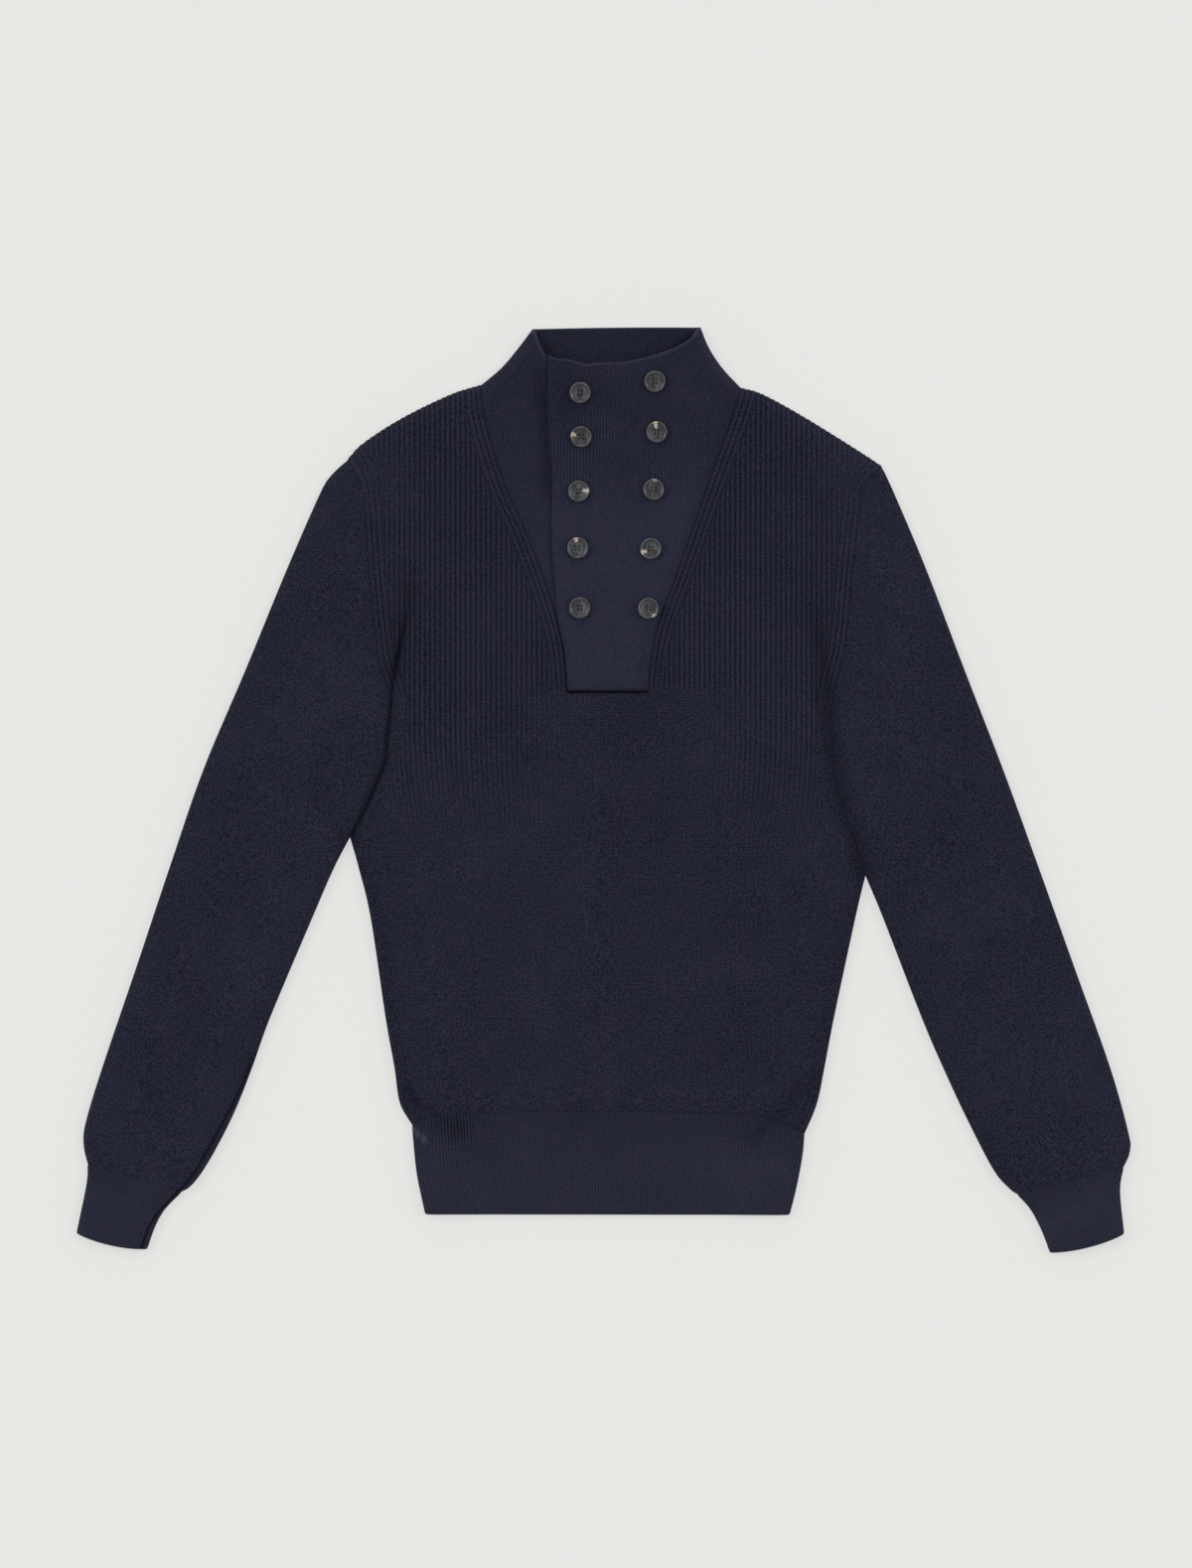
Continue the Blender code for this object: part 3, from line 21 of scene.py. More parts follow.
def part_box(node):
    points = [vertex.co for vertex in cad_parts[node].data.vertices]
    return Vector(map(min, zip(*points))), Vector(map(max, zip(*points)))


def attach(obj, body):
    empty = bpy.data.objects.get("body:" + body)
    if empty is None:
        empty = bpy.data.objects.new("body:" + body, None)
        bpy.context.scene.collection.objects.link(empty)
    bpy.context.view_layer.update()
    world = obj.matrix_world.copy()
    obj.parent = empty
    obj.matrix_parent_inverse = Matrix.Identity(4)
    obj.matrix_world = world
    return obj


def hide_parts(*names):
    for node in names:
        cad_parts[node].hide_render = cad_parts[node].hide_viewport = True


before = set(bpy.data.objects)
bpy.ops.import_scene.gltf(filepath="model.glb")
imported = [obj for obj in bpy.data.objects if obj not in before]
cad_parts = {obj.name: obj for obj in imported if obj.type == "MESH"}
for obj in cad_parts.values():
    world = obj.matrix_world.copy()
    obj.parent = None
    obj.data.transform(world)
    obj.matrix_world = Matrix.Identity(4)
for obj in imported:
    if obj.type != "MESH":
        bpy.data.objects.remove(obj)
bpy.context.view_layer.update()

MM = 0.001
# The photo's whole width, and the plan place in its middle
PHOTO_WIDTH = 1008.0
PHOTO_MIDDLE = (-5.9, 4.6)
Places = tuple[tuple[float, float], ...]
Row = tuple[float, ...]
log = logging.getLogger("sweater")


class Side(Enum):
    """A side of the sweater, as the camera sees it."""

    LEFT = "left"
    RIGHT = "right"

    @property
    def into_body(self) -> float:
        """The sign of x from this side towards the middle."""
        return 1.0 if self is Side.LEFT else -1.0


def ease(value: np.ndarray | float) -> np.ndarray | float:
    """Runs from 0 to 1 with level ends."""
    share = np.clip(value, 0.0, 1.0)
    return share * share * (3.0 - 2.0 * share)


def bump(value: np.ndarray | float) -> np.ndarray | float:
    """A soft hill of height 1 round 0, and about a third at 1."""
    return np.exp(-np.square(value))


def above(value: np.ndarray, limit: np.ndarray | float, reach: float) -> np.ndarray:
    """Holds values above a limit and bends them into it.

    Args:
        value: the values.
        limit: what they stay above.
        reach: how far on both sides of the limit they bend.

    Returns:
        The held values.
    """
    past = np.asarray(value, float) - limit
    bend = np.square(past + reach) / (4.0 * reach)
    return limit + np.where(past <= -reach, 0.0, np.where(past >= reach, past, bend))


def bent(value: np.ndarray, limits: tuple[float, float], reaches: tuple[float, float]) -> np.ndarray:
    """Holds rising values between two limits and bends them into both.

    Args:
        value: the values; the first and the last are put on a limit that they come near.
        limits: the lower and the upper limit.
        reaches: how far on both sides of each limit they bend.

    Returns:
        The held values.
    """
    held = -above(-above(value, limits[0], reaches[0]), -limits[1], reaches[1])
    for index, limit, reach in ((0, limits[0], reaches[0]), (-1, limits[1], reaches[1])):
        if abs(held[index] - limit) <= reach:
            held[index] = limit
    return held


@dataclass(frozen=True)
class PlanLine:
    """A smooth line of the plan through a few places."""

    places: Places
    steps: int = 8

    @cached_property
    def line(self) -> np.ndarray:
        """Places along the line.

        Returns:
            Places (n, 2), on a curve that passes every given place.
        """
        knots = np.array(self.places, float)
        ends = [2.0 * knots[0] - knots[1], *knots, 2.0 * knots[-1] - knots[-2]]
        run = []
        for before, start, end, after in zip(ends, ends[1:], ends[2:], ends[3:]):
            for t in np.arange(self.steps) / self.steps:
                turn = 2.0 * before - 5.0 * start + 4.0 * end - after
                close = 3.0 * start - before - 3.0 * end + after
                run.append(0.5 * (2.0 * start + (end - before) * t + turn * t**2 + close * t**3))
        run.append(knots[-1])
        return np.array(run)

    def at_height(self, y: np.ndarray | float) -> np.ndarray:
        """Places (x, y) where a line that only falls passes heights."""
        rising = self.line[::-1]
        return np.stack((np.interp(y, rising[:, 1], rising[:, 0]), np.asarray(y, float)), axis=-1)

    def over(self, x: np.ndarray | float) -> np.ndarray:
        """Heights of a line that only runs to the right."""
        return np.interp(x, self.line[:, 0], self.line[:, 1])

    def at_share(self, share: np.ndarray | float) -> np.ndarray:
        """Places at shares of the line's length.

        Args:
            share: shares from 0 to 1.

        Returns:
            Places with a last axis of two.
        """
        lengths = np.hypot(*np.diff(self.line, axis=0).T)
        travelled = np.concatenate(((0.0,), np.cumsum(lengths))) / lengths.sum()
        x, y = (np.interp(share, travelled, self.line[:, axis]) for axis in (0, 1))
        return np.stack((x, y), axis=-1)


def both(left: Places, right: Places) -> dict[Side, PlanLine]:
    """The same edge on both sides of the sweater."""
    return {Side.LEFT: PlanLine(left), Side.RIGHT: PlanLine(right)}


# Folded edges and seams of the plan, each from the neck or shoulder downwards
COLLAR_SIDE = both(
    left=((-59.5, 389.6), (-72, 373), (-86.5, 356), (-103.3, 342)),
    right=((82.5, 391), (89.5, 374), (101, 356.5), (116.8, 339.5)),
)
SHOULDER = both(
    left=((-216, 279), (-202.4, 293), (-168.8, 314.5), (-128.5, 334), (-103.3, 342)),
    right=((116.8, 339.5), (135, 334), (170.5, 314.5), (218, 285), (236, 273)),
)
SLEEVE_OUTER = both(
    left=(
        (-216, 279), (-231, 264.5), (-240.5, 248), (-268, 185), (-302.5, 101),
        (-338, 17), (-367, -67), (-395, -151), (-423.5, -235), (-437.5, -281),
        (-439.5, -300), (-436, -317.5),
    ),
    right=(
        (236, 273), (247.5, 248), (274, 185), (306, 101), (338.5, 17), (369, -67),
        (399, -151), (429, -235), (444.5, -290), (446, -306), (440.5, -320),
    ),
)
SLEEVE_INNER = both(
    left=(
        (-214, -40.5), (-228, -67.5), (-246, -109), (-281.5, -193), (-296.5, -235),
        (-313.5, -277), (-333.5, -315), (-347, -334), (-356.5, -341),
    ),
    right=(
        (222, -73), (237, -109), (269.5, -193), (287.5, -235), (307, -277),
        (330, -321.5), (343.5, -337.5), (350.5, -343),
    ),
)
CUFF_OUTER = both(
    left=((-436, -317.5), (-437, -334), (-445.5, -375.5)),
    right=((440.5, -320), (437.5, -339.5), (441, -376)),
)
CUFF_INNER = both(
    left=((-356.5, -341), (-371, -356), (-379, -370.5), (-385.5, -389)),
    right=((350.5, -343), (362, -356), (371.5, -374.5), (378, -392)),
)
BODY_SIDE = both(
    left=(
        (-214, -40.5), (-206.5, -67), (-196.5, -109), (-184, -193), (-176.5, -235),
        (-172, -265), (-161.5, -284),
    ),
    right=(
        (222, -73), (213.5, -109), (195.5, -193), (187.5, -235), (181, -266),
        (170.5, -291.5),
    ),
)
HEM_SIDE = both(
    left=((-161.5, -284), (-160.8, -295), (-157.5, -326), (-150.5, -359.5)),
    right=((170.5, -291.5), (169, -309), (164, -336), (158, -360)),
)
ARMHOLE = both(
    left=(
        (-216, 279), (-205.5, 259.5), (-201.5, 239.5), (-198, 186.5), (-190, 114),
        (-180.5, 82), (-179, 66), (-182.5, 39.5), (-214, -40.5),
    ),
    right=(
        (236, 273), (219, 256), (216.5, 237.5), (211, 186.5), (205, 125), (195, 80),
        (194, 50), (195.5, 15), (212.5, -42), (222, -73),
    ),
)
# The V ends on whole ribs of the front, so that its sides run into them
V_FOOT_Y = 83.0
V_FOOT = {Side.LEFT: -30.1, Side.RIGHT: 38.7}
NECK_V = both(
    left=(
        (-103.3, 342), (-100.5, 315), (-84.5, 262), (-63, 212), (-44, 160.5), (-33.5, 121),
        (V_FOOT[Side.LEFT], V_FOOT_Y),
    ),
    right=(
        (116.8, 339.5), (109.5, 315), (88, 255.5), (64, 187), (46.5, 139), (39.5, 100),
        (V_FOOT[Side.RIGHT], V_FOOT_Y),
    ),
)
BACK_NECK = PlanLine(((-103.3, 342), (-59.3, 334.5), (6.75, 333), (72.8, 334.5), (116.8, 339.5)))
HEM_SEAM = PlanLine(
    (
        (-161.5, -284), (-150, -279.5), (-120, -274.5), (0, -273), (125, -276),
        (158, -286), (170.5, -291.5),
    )
)
COLLAR_FRONT_TOP = PlanLine(
    (
        (-59.5, 389.6), (-53, 377), (-46.5, 367.5), (-39, 363.8), (-31, 363.2), (-22, 361.2),
        (-14.5, 359), (-5, 360.2), (21, 361.5), (50.5, 369), (71, 378.6), (82.5, 391),
    )
)
OVERLAP_EDGE = PlanLine(
    (
        (-46.5, 367.5), (-47, 315), (-43.5, 261), (-44, 218), (-41.5, 178), (-38.8, 146),
        (-35.2, 112), (-32, 82),
    )
)


@dataclass(frozen=True)
class Fold:
    """A soft ridge of the upper layer, or a trough where its height is below 0.

    It grows from nothing over the first share of its line that growth gives.
    """

    places: Places
    half_width: float
    height: float
    # painted highlight along the fold where above 0, painted shade where below 0
    shade: float = 0.0
    growth: float = 0.0
    steps: int = 8

    @cached_property
    def line(self) -> np.ndarray:
        """Places along its crest."""
        return PlanLine(self.places, self.steps).line


FOLDS = (
    # both armholes: the sleeve rolls up against the body
    Fold(((-176, 196), (-186, 130), (-196, 62), (-211, -16)), 11.0, 3.3),
    Fold(((196, 150), (208, 92), (211, 30), (226, -46)), 13.0, 2.4),
    # the sharp crease beside the left armhole and the soft one beside the right, with painted shade in both
    Fold(((-158, 204), (-163, 172), (-168, 138), (-176, 100)), 8.0, -1.3, -0.32, 0.3),
    Fold(
        (
            (-162, 180), (-166, 148), (-170, 131), (-174.5, 109), (-178.5, 84),
            (-180.5, 60), (-182.8, 43), (-183.5, 27), (-188.5, 12), (-200.5, -15.4), (-213, -40),
        ),
        2.0,
        -1.9,
        -1.1,
        0.3,
        16,
    ),
    Fold(((-152, 160), (-160, 110), (-166, 60), (-176, 0)), 13.0, 1.0),
    Fold(
        ((168, 190), (178, 147), (187.5, 97), (192, 46), (201, 0), (221, -73)),
        8.5,
        -1.7,
        -0.5,
        0.35,
    ),
    Fold(((166, 140), (176, 80), (184, 10)), 13.0, 0.8),
    # underarms
    Fold(((-216, -22), (-250, 6), (-284, 48)), 12.0, 1.0),
    Fold(((226, -52), (262, -20), (292, 30)), 13.0, 1.0),
    Fold(((-222, -44), (-262, -34), (-300, 2)), 9.0, -0.9),
    Fold(((232, -76), (270, -62), (306, -24)), 9.0, -0.8),
    Fold(((-206, -70), (-172, -62), (-130, -70)), 12.0, 0.8),
    Fold(((208, -104), (172, -92), (128, -98)), 13.0, 0.8),
    # the body bags over the hem band, with painted shade in its creases and a painted highlight on the pinch
    # at the left corner
    Fold(((-158, -262), (0, -259), (168, -266)), 11.0, 1.2),
    Fold(((-168, -238), (-140, -262), (-104, -284)), 8.0, 1.0),
    Fold(((-168, -252), (-150, -270), (-120, -292)), 4.5, -1.7, -0.25),
    Fold(((-163, -254), (-161, -258.5), (-157, -264)), 3.0, -1.0, -0.45),
    Fold(((-163, -285.5), (-155.7, -292), (-147, -298.4)), 1.8, 1.6, 1.6),
    Fold(((-172, -230), (-160, -240), (-150, -240)), 7.0, 1.1),
    Fold(((176, -242), (160, -264), (132, -280)), 8.0, 0.8),
    Fold(((170, -250), (152, -268), (128, -296)), 5.0, -1.0, -0.3),
    # the sleeves bag over their cuffs
    Fold(((-431, -298), (-395, -306), (-352, -322)), 13.0, 1.3),
    Fold(((436, -300), (395, -308), (346, -326)), 13.0, 1.3),
    Fold(((-420, -282), (-404, -304), (-398, -330)), 5.0, -0.7),
    Fold(((-384, -276), (-380, -306), (-384, -336)), 6.0, -0.6),
    Fold(((424, -280), (408, -306), (400, -336)), 5.0, -0.7),
    Fold(((384, -280), (380, -310), (382, -340)), 6.0, -0.6),
    # elbows
    Fold(((-345, -96), (-310, -128), (-282, -176)), 15.0, 0.8),
    Fold(((352, -104), (316, -132), (280, -180)), 15.0, 0.8),
    # collar, with painted shade in its troughs
    Fold(((-32, 352), (18, 350), (62, 364)), 9.0, 0.9),
    Fold(((-36, 376), (-34, 344), (-30, 316)), 9.0, -0.8, -0.2),
    Fold(((-56, 352), (-52, 330), (-50, 300), (-48, 250)), 5.0, -0.3, -0.4),
    Fold(((4, 330), (14, 322), (24, 312)), 11.0, -1.0, -0.15),
    Fold(((60, 348), (84, 322), (96, 300)), 11.0, 0.7),
    # the body's own slight waves
    Fold(((-6, 60), (-2, -120), (-6, -258)), 9.0, -0.5),
    Fold(((-120, 60), (-112, -60), (-118, -200)), 26.0, 0.6),
    Fold(((112, 40), (104, -80), (112, -210)), 26.0, 0.5),
    Fold(((-60, 40), (0, 30), (64, 42)), 20.0, 0.6),
)


@dataclass(frozen=True)
class Groove:
    """A narrow groove pressed into the cloth's own face, also where it turns down at an edge."""

    line: PlanLine
    half_width: float
    sunk: float
    growth: float = 20.0

    def depth(self, x: np.ndarray, y: np.ndarray) -> np.ndarray:
        """How deep the groove is.

        Args:
            x: plan places, in any shape.
            y: plan places, in the same shape.

        Returns:
            Depths in the same shape, from nothing at the start of the line.
        """
        line = self.line.line
        places = np.stack((x.ravel(), y.ravel()), axis=1)
        away = Lay.ways(places, line[:-1], np.diff(line, axis=0))[1].min(axis=1)
        from_start = np.hypot(*(places - line[0]).T)
        depth = self.sunk * bump(away / self.half_width) * ease(from_start / (self.growth * self.half_width))
        return depth.reshape(x.shape)


def folded_edges() -> list[np.ndarray]:
    """Joins up the folded edges of the plan.

    Returns:
        Lines of places, each run so that the cloth lies on its left.
    """
    left, right = Side.LEFT, Side.RIGHT
    shoulder_down = SHOULDER[left].line[::-1]
    edges = [COLLAR_SIDE[left].line, shoulder_down, SLEEVE_OUTER[left].line, CUFF_OUTER[left].line]
    edges += [CUFF_INNER[left].line[::-1], SLEEVE_INNER[left].line[::-1]]
    edges += [BODY_SIDE[left].line, HEM_SIDE[left].line]
    edges += [HEM_SIDE[right].line[::-1], BODY_SIDE[right].line[::-1]]
    edges += [SLEEVE_INNER[right].line, CUFF_INNER[right].line]
    edges += [CUFF_OUTER[right].line[::-1], SLEEVE_OUTER[right].line[::-1]]
    edges += [SHOULDER[right].line[::-1], COLLAR_SIDE[right].line[::-1]]
    return edges


@dataclass
class Wall:
    """Places of a piece's outer and inner face, row by row, and what its finish follows."""

    outer: np.ndarray
    inner: np.ndarray
    wale: np.ndarray
    course: np.ndarray
    ribbed: np.ndarray
    # painted highlight where above 0 and painted shade where below 0
    tone: np.ndarray | float = 0.0


@dataclass
class Lay:
    """How both layers of the sweater lie, as heights over the plan."""

    wall: float = 2.8
    seam_half_gap: float = 0.15
    edge_level: float = 4.2
    upper_round: float = 14.0
    lower_round: float = 10.0
    body_level: float = 6.5
    edge_loft: float = 2.4
    loft_length: float = 50.0
    funnel_rise: float = 5.8
    funnel_middle_x: float = 8.0
    funnel_half_width: float = 62.0
    funnel_foot_y: float = 275.0
    funnel_top_y: float = 362.0
    on_edge: float = 0.05
    fold_reach: float = 3.0
    block: int = 3000

    def __post_init__(self) -> None:
        """Takes the folded edges apart into straight runs."""
        edges = folded_edges()
        self.starts = np.concatenate([edge[:-1] for edge in edges])
        self.runs = np.concatenate([np.diff(edge, axis=0) for edge in edges])
        normals = np.stack((-self.runs[:, 1], self.runs[:, 0]), axis=1)
        self.normals = normals / np.hypot(normals[:, 0], normals[:, 1])[:, None]

    @staticmethod
    def ways(places: np.ndarray, starts: np.ndarray, runs: np.ndarray) -> tuple[np.ndarray, np.ndarray]:
        """Measures how far places are from straight runs.

        Args:
            places: plan places, (n, 2).
            starts: where each run starts, (m, 2).
            runs: each run's way to its end, (m, 2).

        Returns:
            The way from each run to each place, (n, m, 2), and its length, (n, m).
        """
        from_start = places[:, None, :] - starts[None, :, :]
        share = (from_start * runs).sum(axis=2) / (runs * runs).sum(axis=1)
        away = from_start - runs * np.clip(share, 0.0, 1.0)[:, :, None]
        return away, np.hypot(away[:, :, 0], away[:, :, 1])

    def from_edge(self, places: np.ndarray) -> tuple[np.ndarray, np.ndarray]:
        """How far places are from the nearest folded edge.

        Args:
            places: plan places, (n, 2).

        Returns:
            Distances (n,) and unit directions into the cloth (n, 2).
        """
        distances = np.empty(len(places))
        inwards = np.empty((len(places), 2))
        for first in range(0, len(places), self.block):
            some = slice(first, first + self.block)
            away, lengths = self.ways(places[some], self.starts, self.runs)
            nearest = lengths.argmin(axis=1)
            rows = np.arange(len(nearest))
            distance = lengths[rows, nearest]
            inward = away[rows, nearest] / np.maximum(distance, 1e-9)[:, None]
            touching = distance < self.on_edge
            if touching.any():
                summed = (lengths[touching] < self.on_edge) @ self.normals
                inward[touching] = summed / np.hypot(summed[:, 0], summed[:, 1])[:, None]
                distance[touching] = 0.0
            distances[some] = distance
            inwards[some] = inward
        return distances, inwards

    def folds(self, places: np.ndarray) -> tuple[np.ndarray, np.ndarray]:
        """What the soft folds do to the upper layer.

        Args:
            places: plan places, (n, 2).

        Returns:
            How far they lift it, and the painted highlight or shade that they put on it, (n,) each.
        """
        lift = np.zeros(len(places))
        tone = np.zeros(len(places))
        for fold in FOLDS:
            line = fold.line
            reach = self.fold_reach * fold.half_width
            low, high = line.min(axis=0) - reach, line.max(axis=0) + reach
            near = np.flatnonzero(((places > low) & (places < high)).all(axis=1))
            if near.size:
                lengths = self.ways(places[near], line[:-1], np.diff(line, axis=0))[1]
                hill = bump(lengths.min(axis=1) / fold.half_width)
                if fold.growth > 0.0:
                    passed = lengths.argmin(axis=1) / lengths.shape[1]
                    hill = hill * ease(passed / fold.growth)
                lift[near] += fold.height * hill
                tone[near] += fold.shade * hill
        return lift, tone

    def tone(self, x: np.ndarray, y: np.ndarray) -> np.ndarray:
        """The painted highlight or shade that the folds put on places of the upper layer."""
        return self.folds(np.stack((x.ravel(), y.ravel()), axis=1))[1].reshape(x.shape)

    def funnel(self, places: np.ndarray) -> np.ndarray:
        """How far the collar's front stands up.

        Args:
            places: plan places, (n, 2).

        Returns:
            Heights, (n,).
        """
        middle = np.exp(-0.5 * ((places[:, 0] - self.funnel_middle_x) / self.funnel_half_width) ** 2)
        climb = (places[:, 1] - self.funnel_foot_y) / (self.funnel_top_y - self.funnel_foot_y)
        return self.funnel_rise * middle * ease(climb)

    def upper(
        self, x: np.ndarray, y: np.ndarray, relief: np.ndarray | float = 0.0, lift: np.ndarray | float = 0.0
    ) -> tuple[np.ndarray, np.ndarray]:
        """Faces of the upper layer.

        Args:
            x: plan places, in any shape.
            y: plan places, in the same shape.
            relief: how far ribs stand out of the outer face.
            lift: how far the piece lies above the layer's own level.

        Returns:
            The outer and the inner face, each with a last axis of three.
        """
        places = np.stack((x.ravel(), y.ravel()), axis=1)
        distance, inward = self.from_edge(places)
        cosine = 1.0 - np.minimum(distance / self.upper_round, 1.0)
        sine = np.sqrt(1.0 - cosine**2)
        loft = self.edge_loft * (1.0 - ease((distance - self.upper_round) / self.loft_length))
        rise = self.body_level + loft + self.funnel(places) + self.folds(places)[0] - self.edge_level
        z = self.edge_level + self.seam_half_gap + rise * sine + np.ravel(lift)
        way = np.column_stack((-inward * cosine[:, None], sine))
        return self.faces(x.shape, places, z, way, relief)

    def lower(
        self, x: np.ndarray, y: np.ndarray, relief: np.ndarray | float = 0.0
    ) -> tuple[np.ndarray, np.ndarray]:
        """Faces of the lower layer, which is flat but for its turned edges.

        Args:
            x: plan places, in any shape.
            y: plan places, in the same shape.
            relief: how far ribs stand out of the face that looks up.

        Returns:
            The outer and the inner face, each with a last axis of three.
        """
        places = np.stack((x.ravel(), y.ravel()), axis=1)
        distance, inward = self.from_edge(places)
        cosine = 1.0 - np.minimum(distance / self.lower_round, 1.0)
        sine = np.sqrt(1.0 - cosine**2)
        way = np.column_stack((-inward * cosine[:, None], -sine))
        z = (self.edge_level - self.seam_half_gap) * (1.0 - sine)
        outer, inner = self.faces(x.shape, places, z, way, 0.0)
        return outer, inner - way.reshape(inner.shape) * np.reshape(relief, (*np.shape(relief), 1))

    def faces(
        self,
        shape: tuple[int, ...],
        places: np.ndarray,
        z: np.ndarray,
        way: np.ndarray,
        relief: np.ndarray | float,
    ) -> tuple[np.ndarray, np.ndarray]:
        """Faces of a wall.

        Args:
            shape: the shape of the grid of places.
            places: plan places of the outer face, (n, 2).
            z: its heights, (n,).
            way: the unit way out of it, (n, 3).
            relief: how far ribs stand out of it.

        Returns:
            The outer and the inner face, each with a last axis of three.
        """
        base = np.column_stack((places, z))
        outer = base + way * np.broadcast_to(relief, shape).ravel()[:, None]
        inner = base - way * self.wall
        return outer.reshape(*shape, 3), inner.reshape(*shape, 3)


LAY = Lay()
# Inside the left sleeve's inner edge: the upper layer ends there, and the under layer shows beside it, with
# painted shade along the groove
UNDER_EDGE = Groove(
    PlanLine(
        (
            (-289.0, -213.0), (-294.6, -225.0), (-307.6, -257.0), (-317.0, -274.5), (-331.0, -300.5),
            (-345.0, -324.0), (-355.5, -337.0), (-366.0, -347.5), (-378.0, -361.0), (-385.0, -374.0),
            (-390.5, -391.0),
        )
    ),
    half_width=1.3,
    sunk=1.5,
)


@dataclass(frozen=True)
class RibKnit:
    """Sizes of a ribbed knit."""

    pitch: float
    course: float
    samples: int = 4
    fullness: float = 0.28

    @property
    def step(self) -> float:
        """From one column of places to the next."""
        return self.pitch / self.samples

    def profile(self, wale: np.ndarray) -> np.ndarray:
        """A rib's height from 0 in the groove, at whole wales, to 1 on its crest."""
        return np.power(0.5 - 0.5 * np.cos(2.0 * math.pi * wale), self.fullness)

    def wales(self, first: int, last: int) -> np.ndarray:
        """Rib numbers of all columns from one whole rib to another."""
        return np.arange(first * self.samples, last * self.samples + 1) / self.samples


def rows_between(guides: Sequence[Sequence[float]], spacing: float) -> tuple[np.ndarray, np.ndarray]:
    """Adds even rows between guide rows.

    Args:
        guides: one row of values for each guide.
        spacing: the largest step that any value may take.

    Returns:
        The rows' places among the guides, and the values there, one row each.
    """
    table = np.array(guides, float)
    places = [np.array((0.0,))]
    for index, step in enumerate(np.abs(np.diff(table, axis=0)).max(axis=1)):
        count = max(1, math.ceil(step / spacing))
        places.append(index + np.arange(1, count + 1) / count)
    at = np.concatenate(places)
    columns = [np.interp(at, range(len(table)), table[:, column]) for column in range(table.shape[1])]
    return at, np.stack(columns, axis=1)


def side_places(side: Side, heights: np.ndarray) -> np.ndarray:
    """Places down an armhole and then down the side of the body.

    Args:
        side: which side.
        heights: heights of the places, (n,).

    Returns:
        Places, (n, 2).
    """
    on_armhole = (heights >= ARMHOLE[side].places[-1][1])[:, None]
    return np.where(on_armhole, ARMHOLE[side].at_height(heights), BODY_SIDE[side].at_height(heights))


def across(left: np.ndarray, right: np.ndarray, share: np.ndarray) -> tuple[np.ndarray, np.ndarray]:
    """Places of rows that run straight across.

    Args:
        left: the rows' left ends, (rows, 2).
        right: their right ends, (rows, 2).
        share: shares of the way, (1, columns).

    Returns:
        The places' x and y, (rows, columns) each.
    """
    x = left[:, :1] + (right[:, :1] - left[:, :1]) * share
    y = left[:, 1:] + (right[:, 1:] - left[:, 1:]) * share
    return x, y


@dataclass(frozen=True)
class RowLine:
    """A row across a panel, straight between its ends but for a share of a top curve's bend."""

    left: np.ndarray
    right: np.ndarray
    bend: PlanLine | None = None
    share: float = 0.0
    top_left: np.ndarray | None = None
    top_right: np.ndarray | None = None

    def y(self, x: np.ndarray) -> np.ndarray:
        """The row's heights.

        Args:
            x: plan places across the row.

        Returns:
            Heights at those places.
        """
        place = (x - self.left[0]) / (self.right[0] - self.left[0])
        straight = self.left[1] + (self.right[1] - self.left[1]) * place
        if self.bend is None or self.share == 0.0:
            return straight
        top_x = self.top_left[0] + (self.top_right[0] - self.top_left[0]) * place
        top_straight = self.top_left[1] + (self.top_right[1] - self.top_left[1]) * place
        return straight + self.share * (self.bend.over(top_x) - top_straight)


def placed(name: str, data: bpy.types.ID) -> bpy.types.Object:
    """Puts a mesh, a light or a camera into the scene.

    Args:
        name: the object's name.
        data: what it shows.

    Returns:
        The object, at the origin.
    """
    thing = bpy.data.objects.new(name, data)
    bpy.context.scene.collection.objects.link(thing)
    return thing


def mesh_data(mesh: bmesh.types.BMesh, name: str) -> bpy.types.Mesh:
    """Ends the work on a bmesh.

    Args:
        mesh: the shape, which is freed.
        name: the name of its mesh.

    Returns:
        The mesh.
    """
    data = bpy.data.meshes.new(name)
    mesh.to_mesh(data)
    mesh.free()
    return data


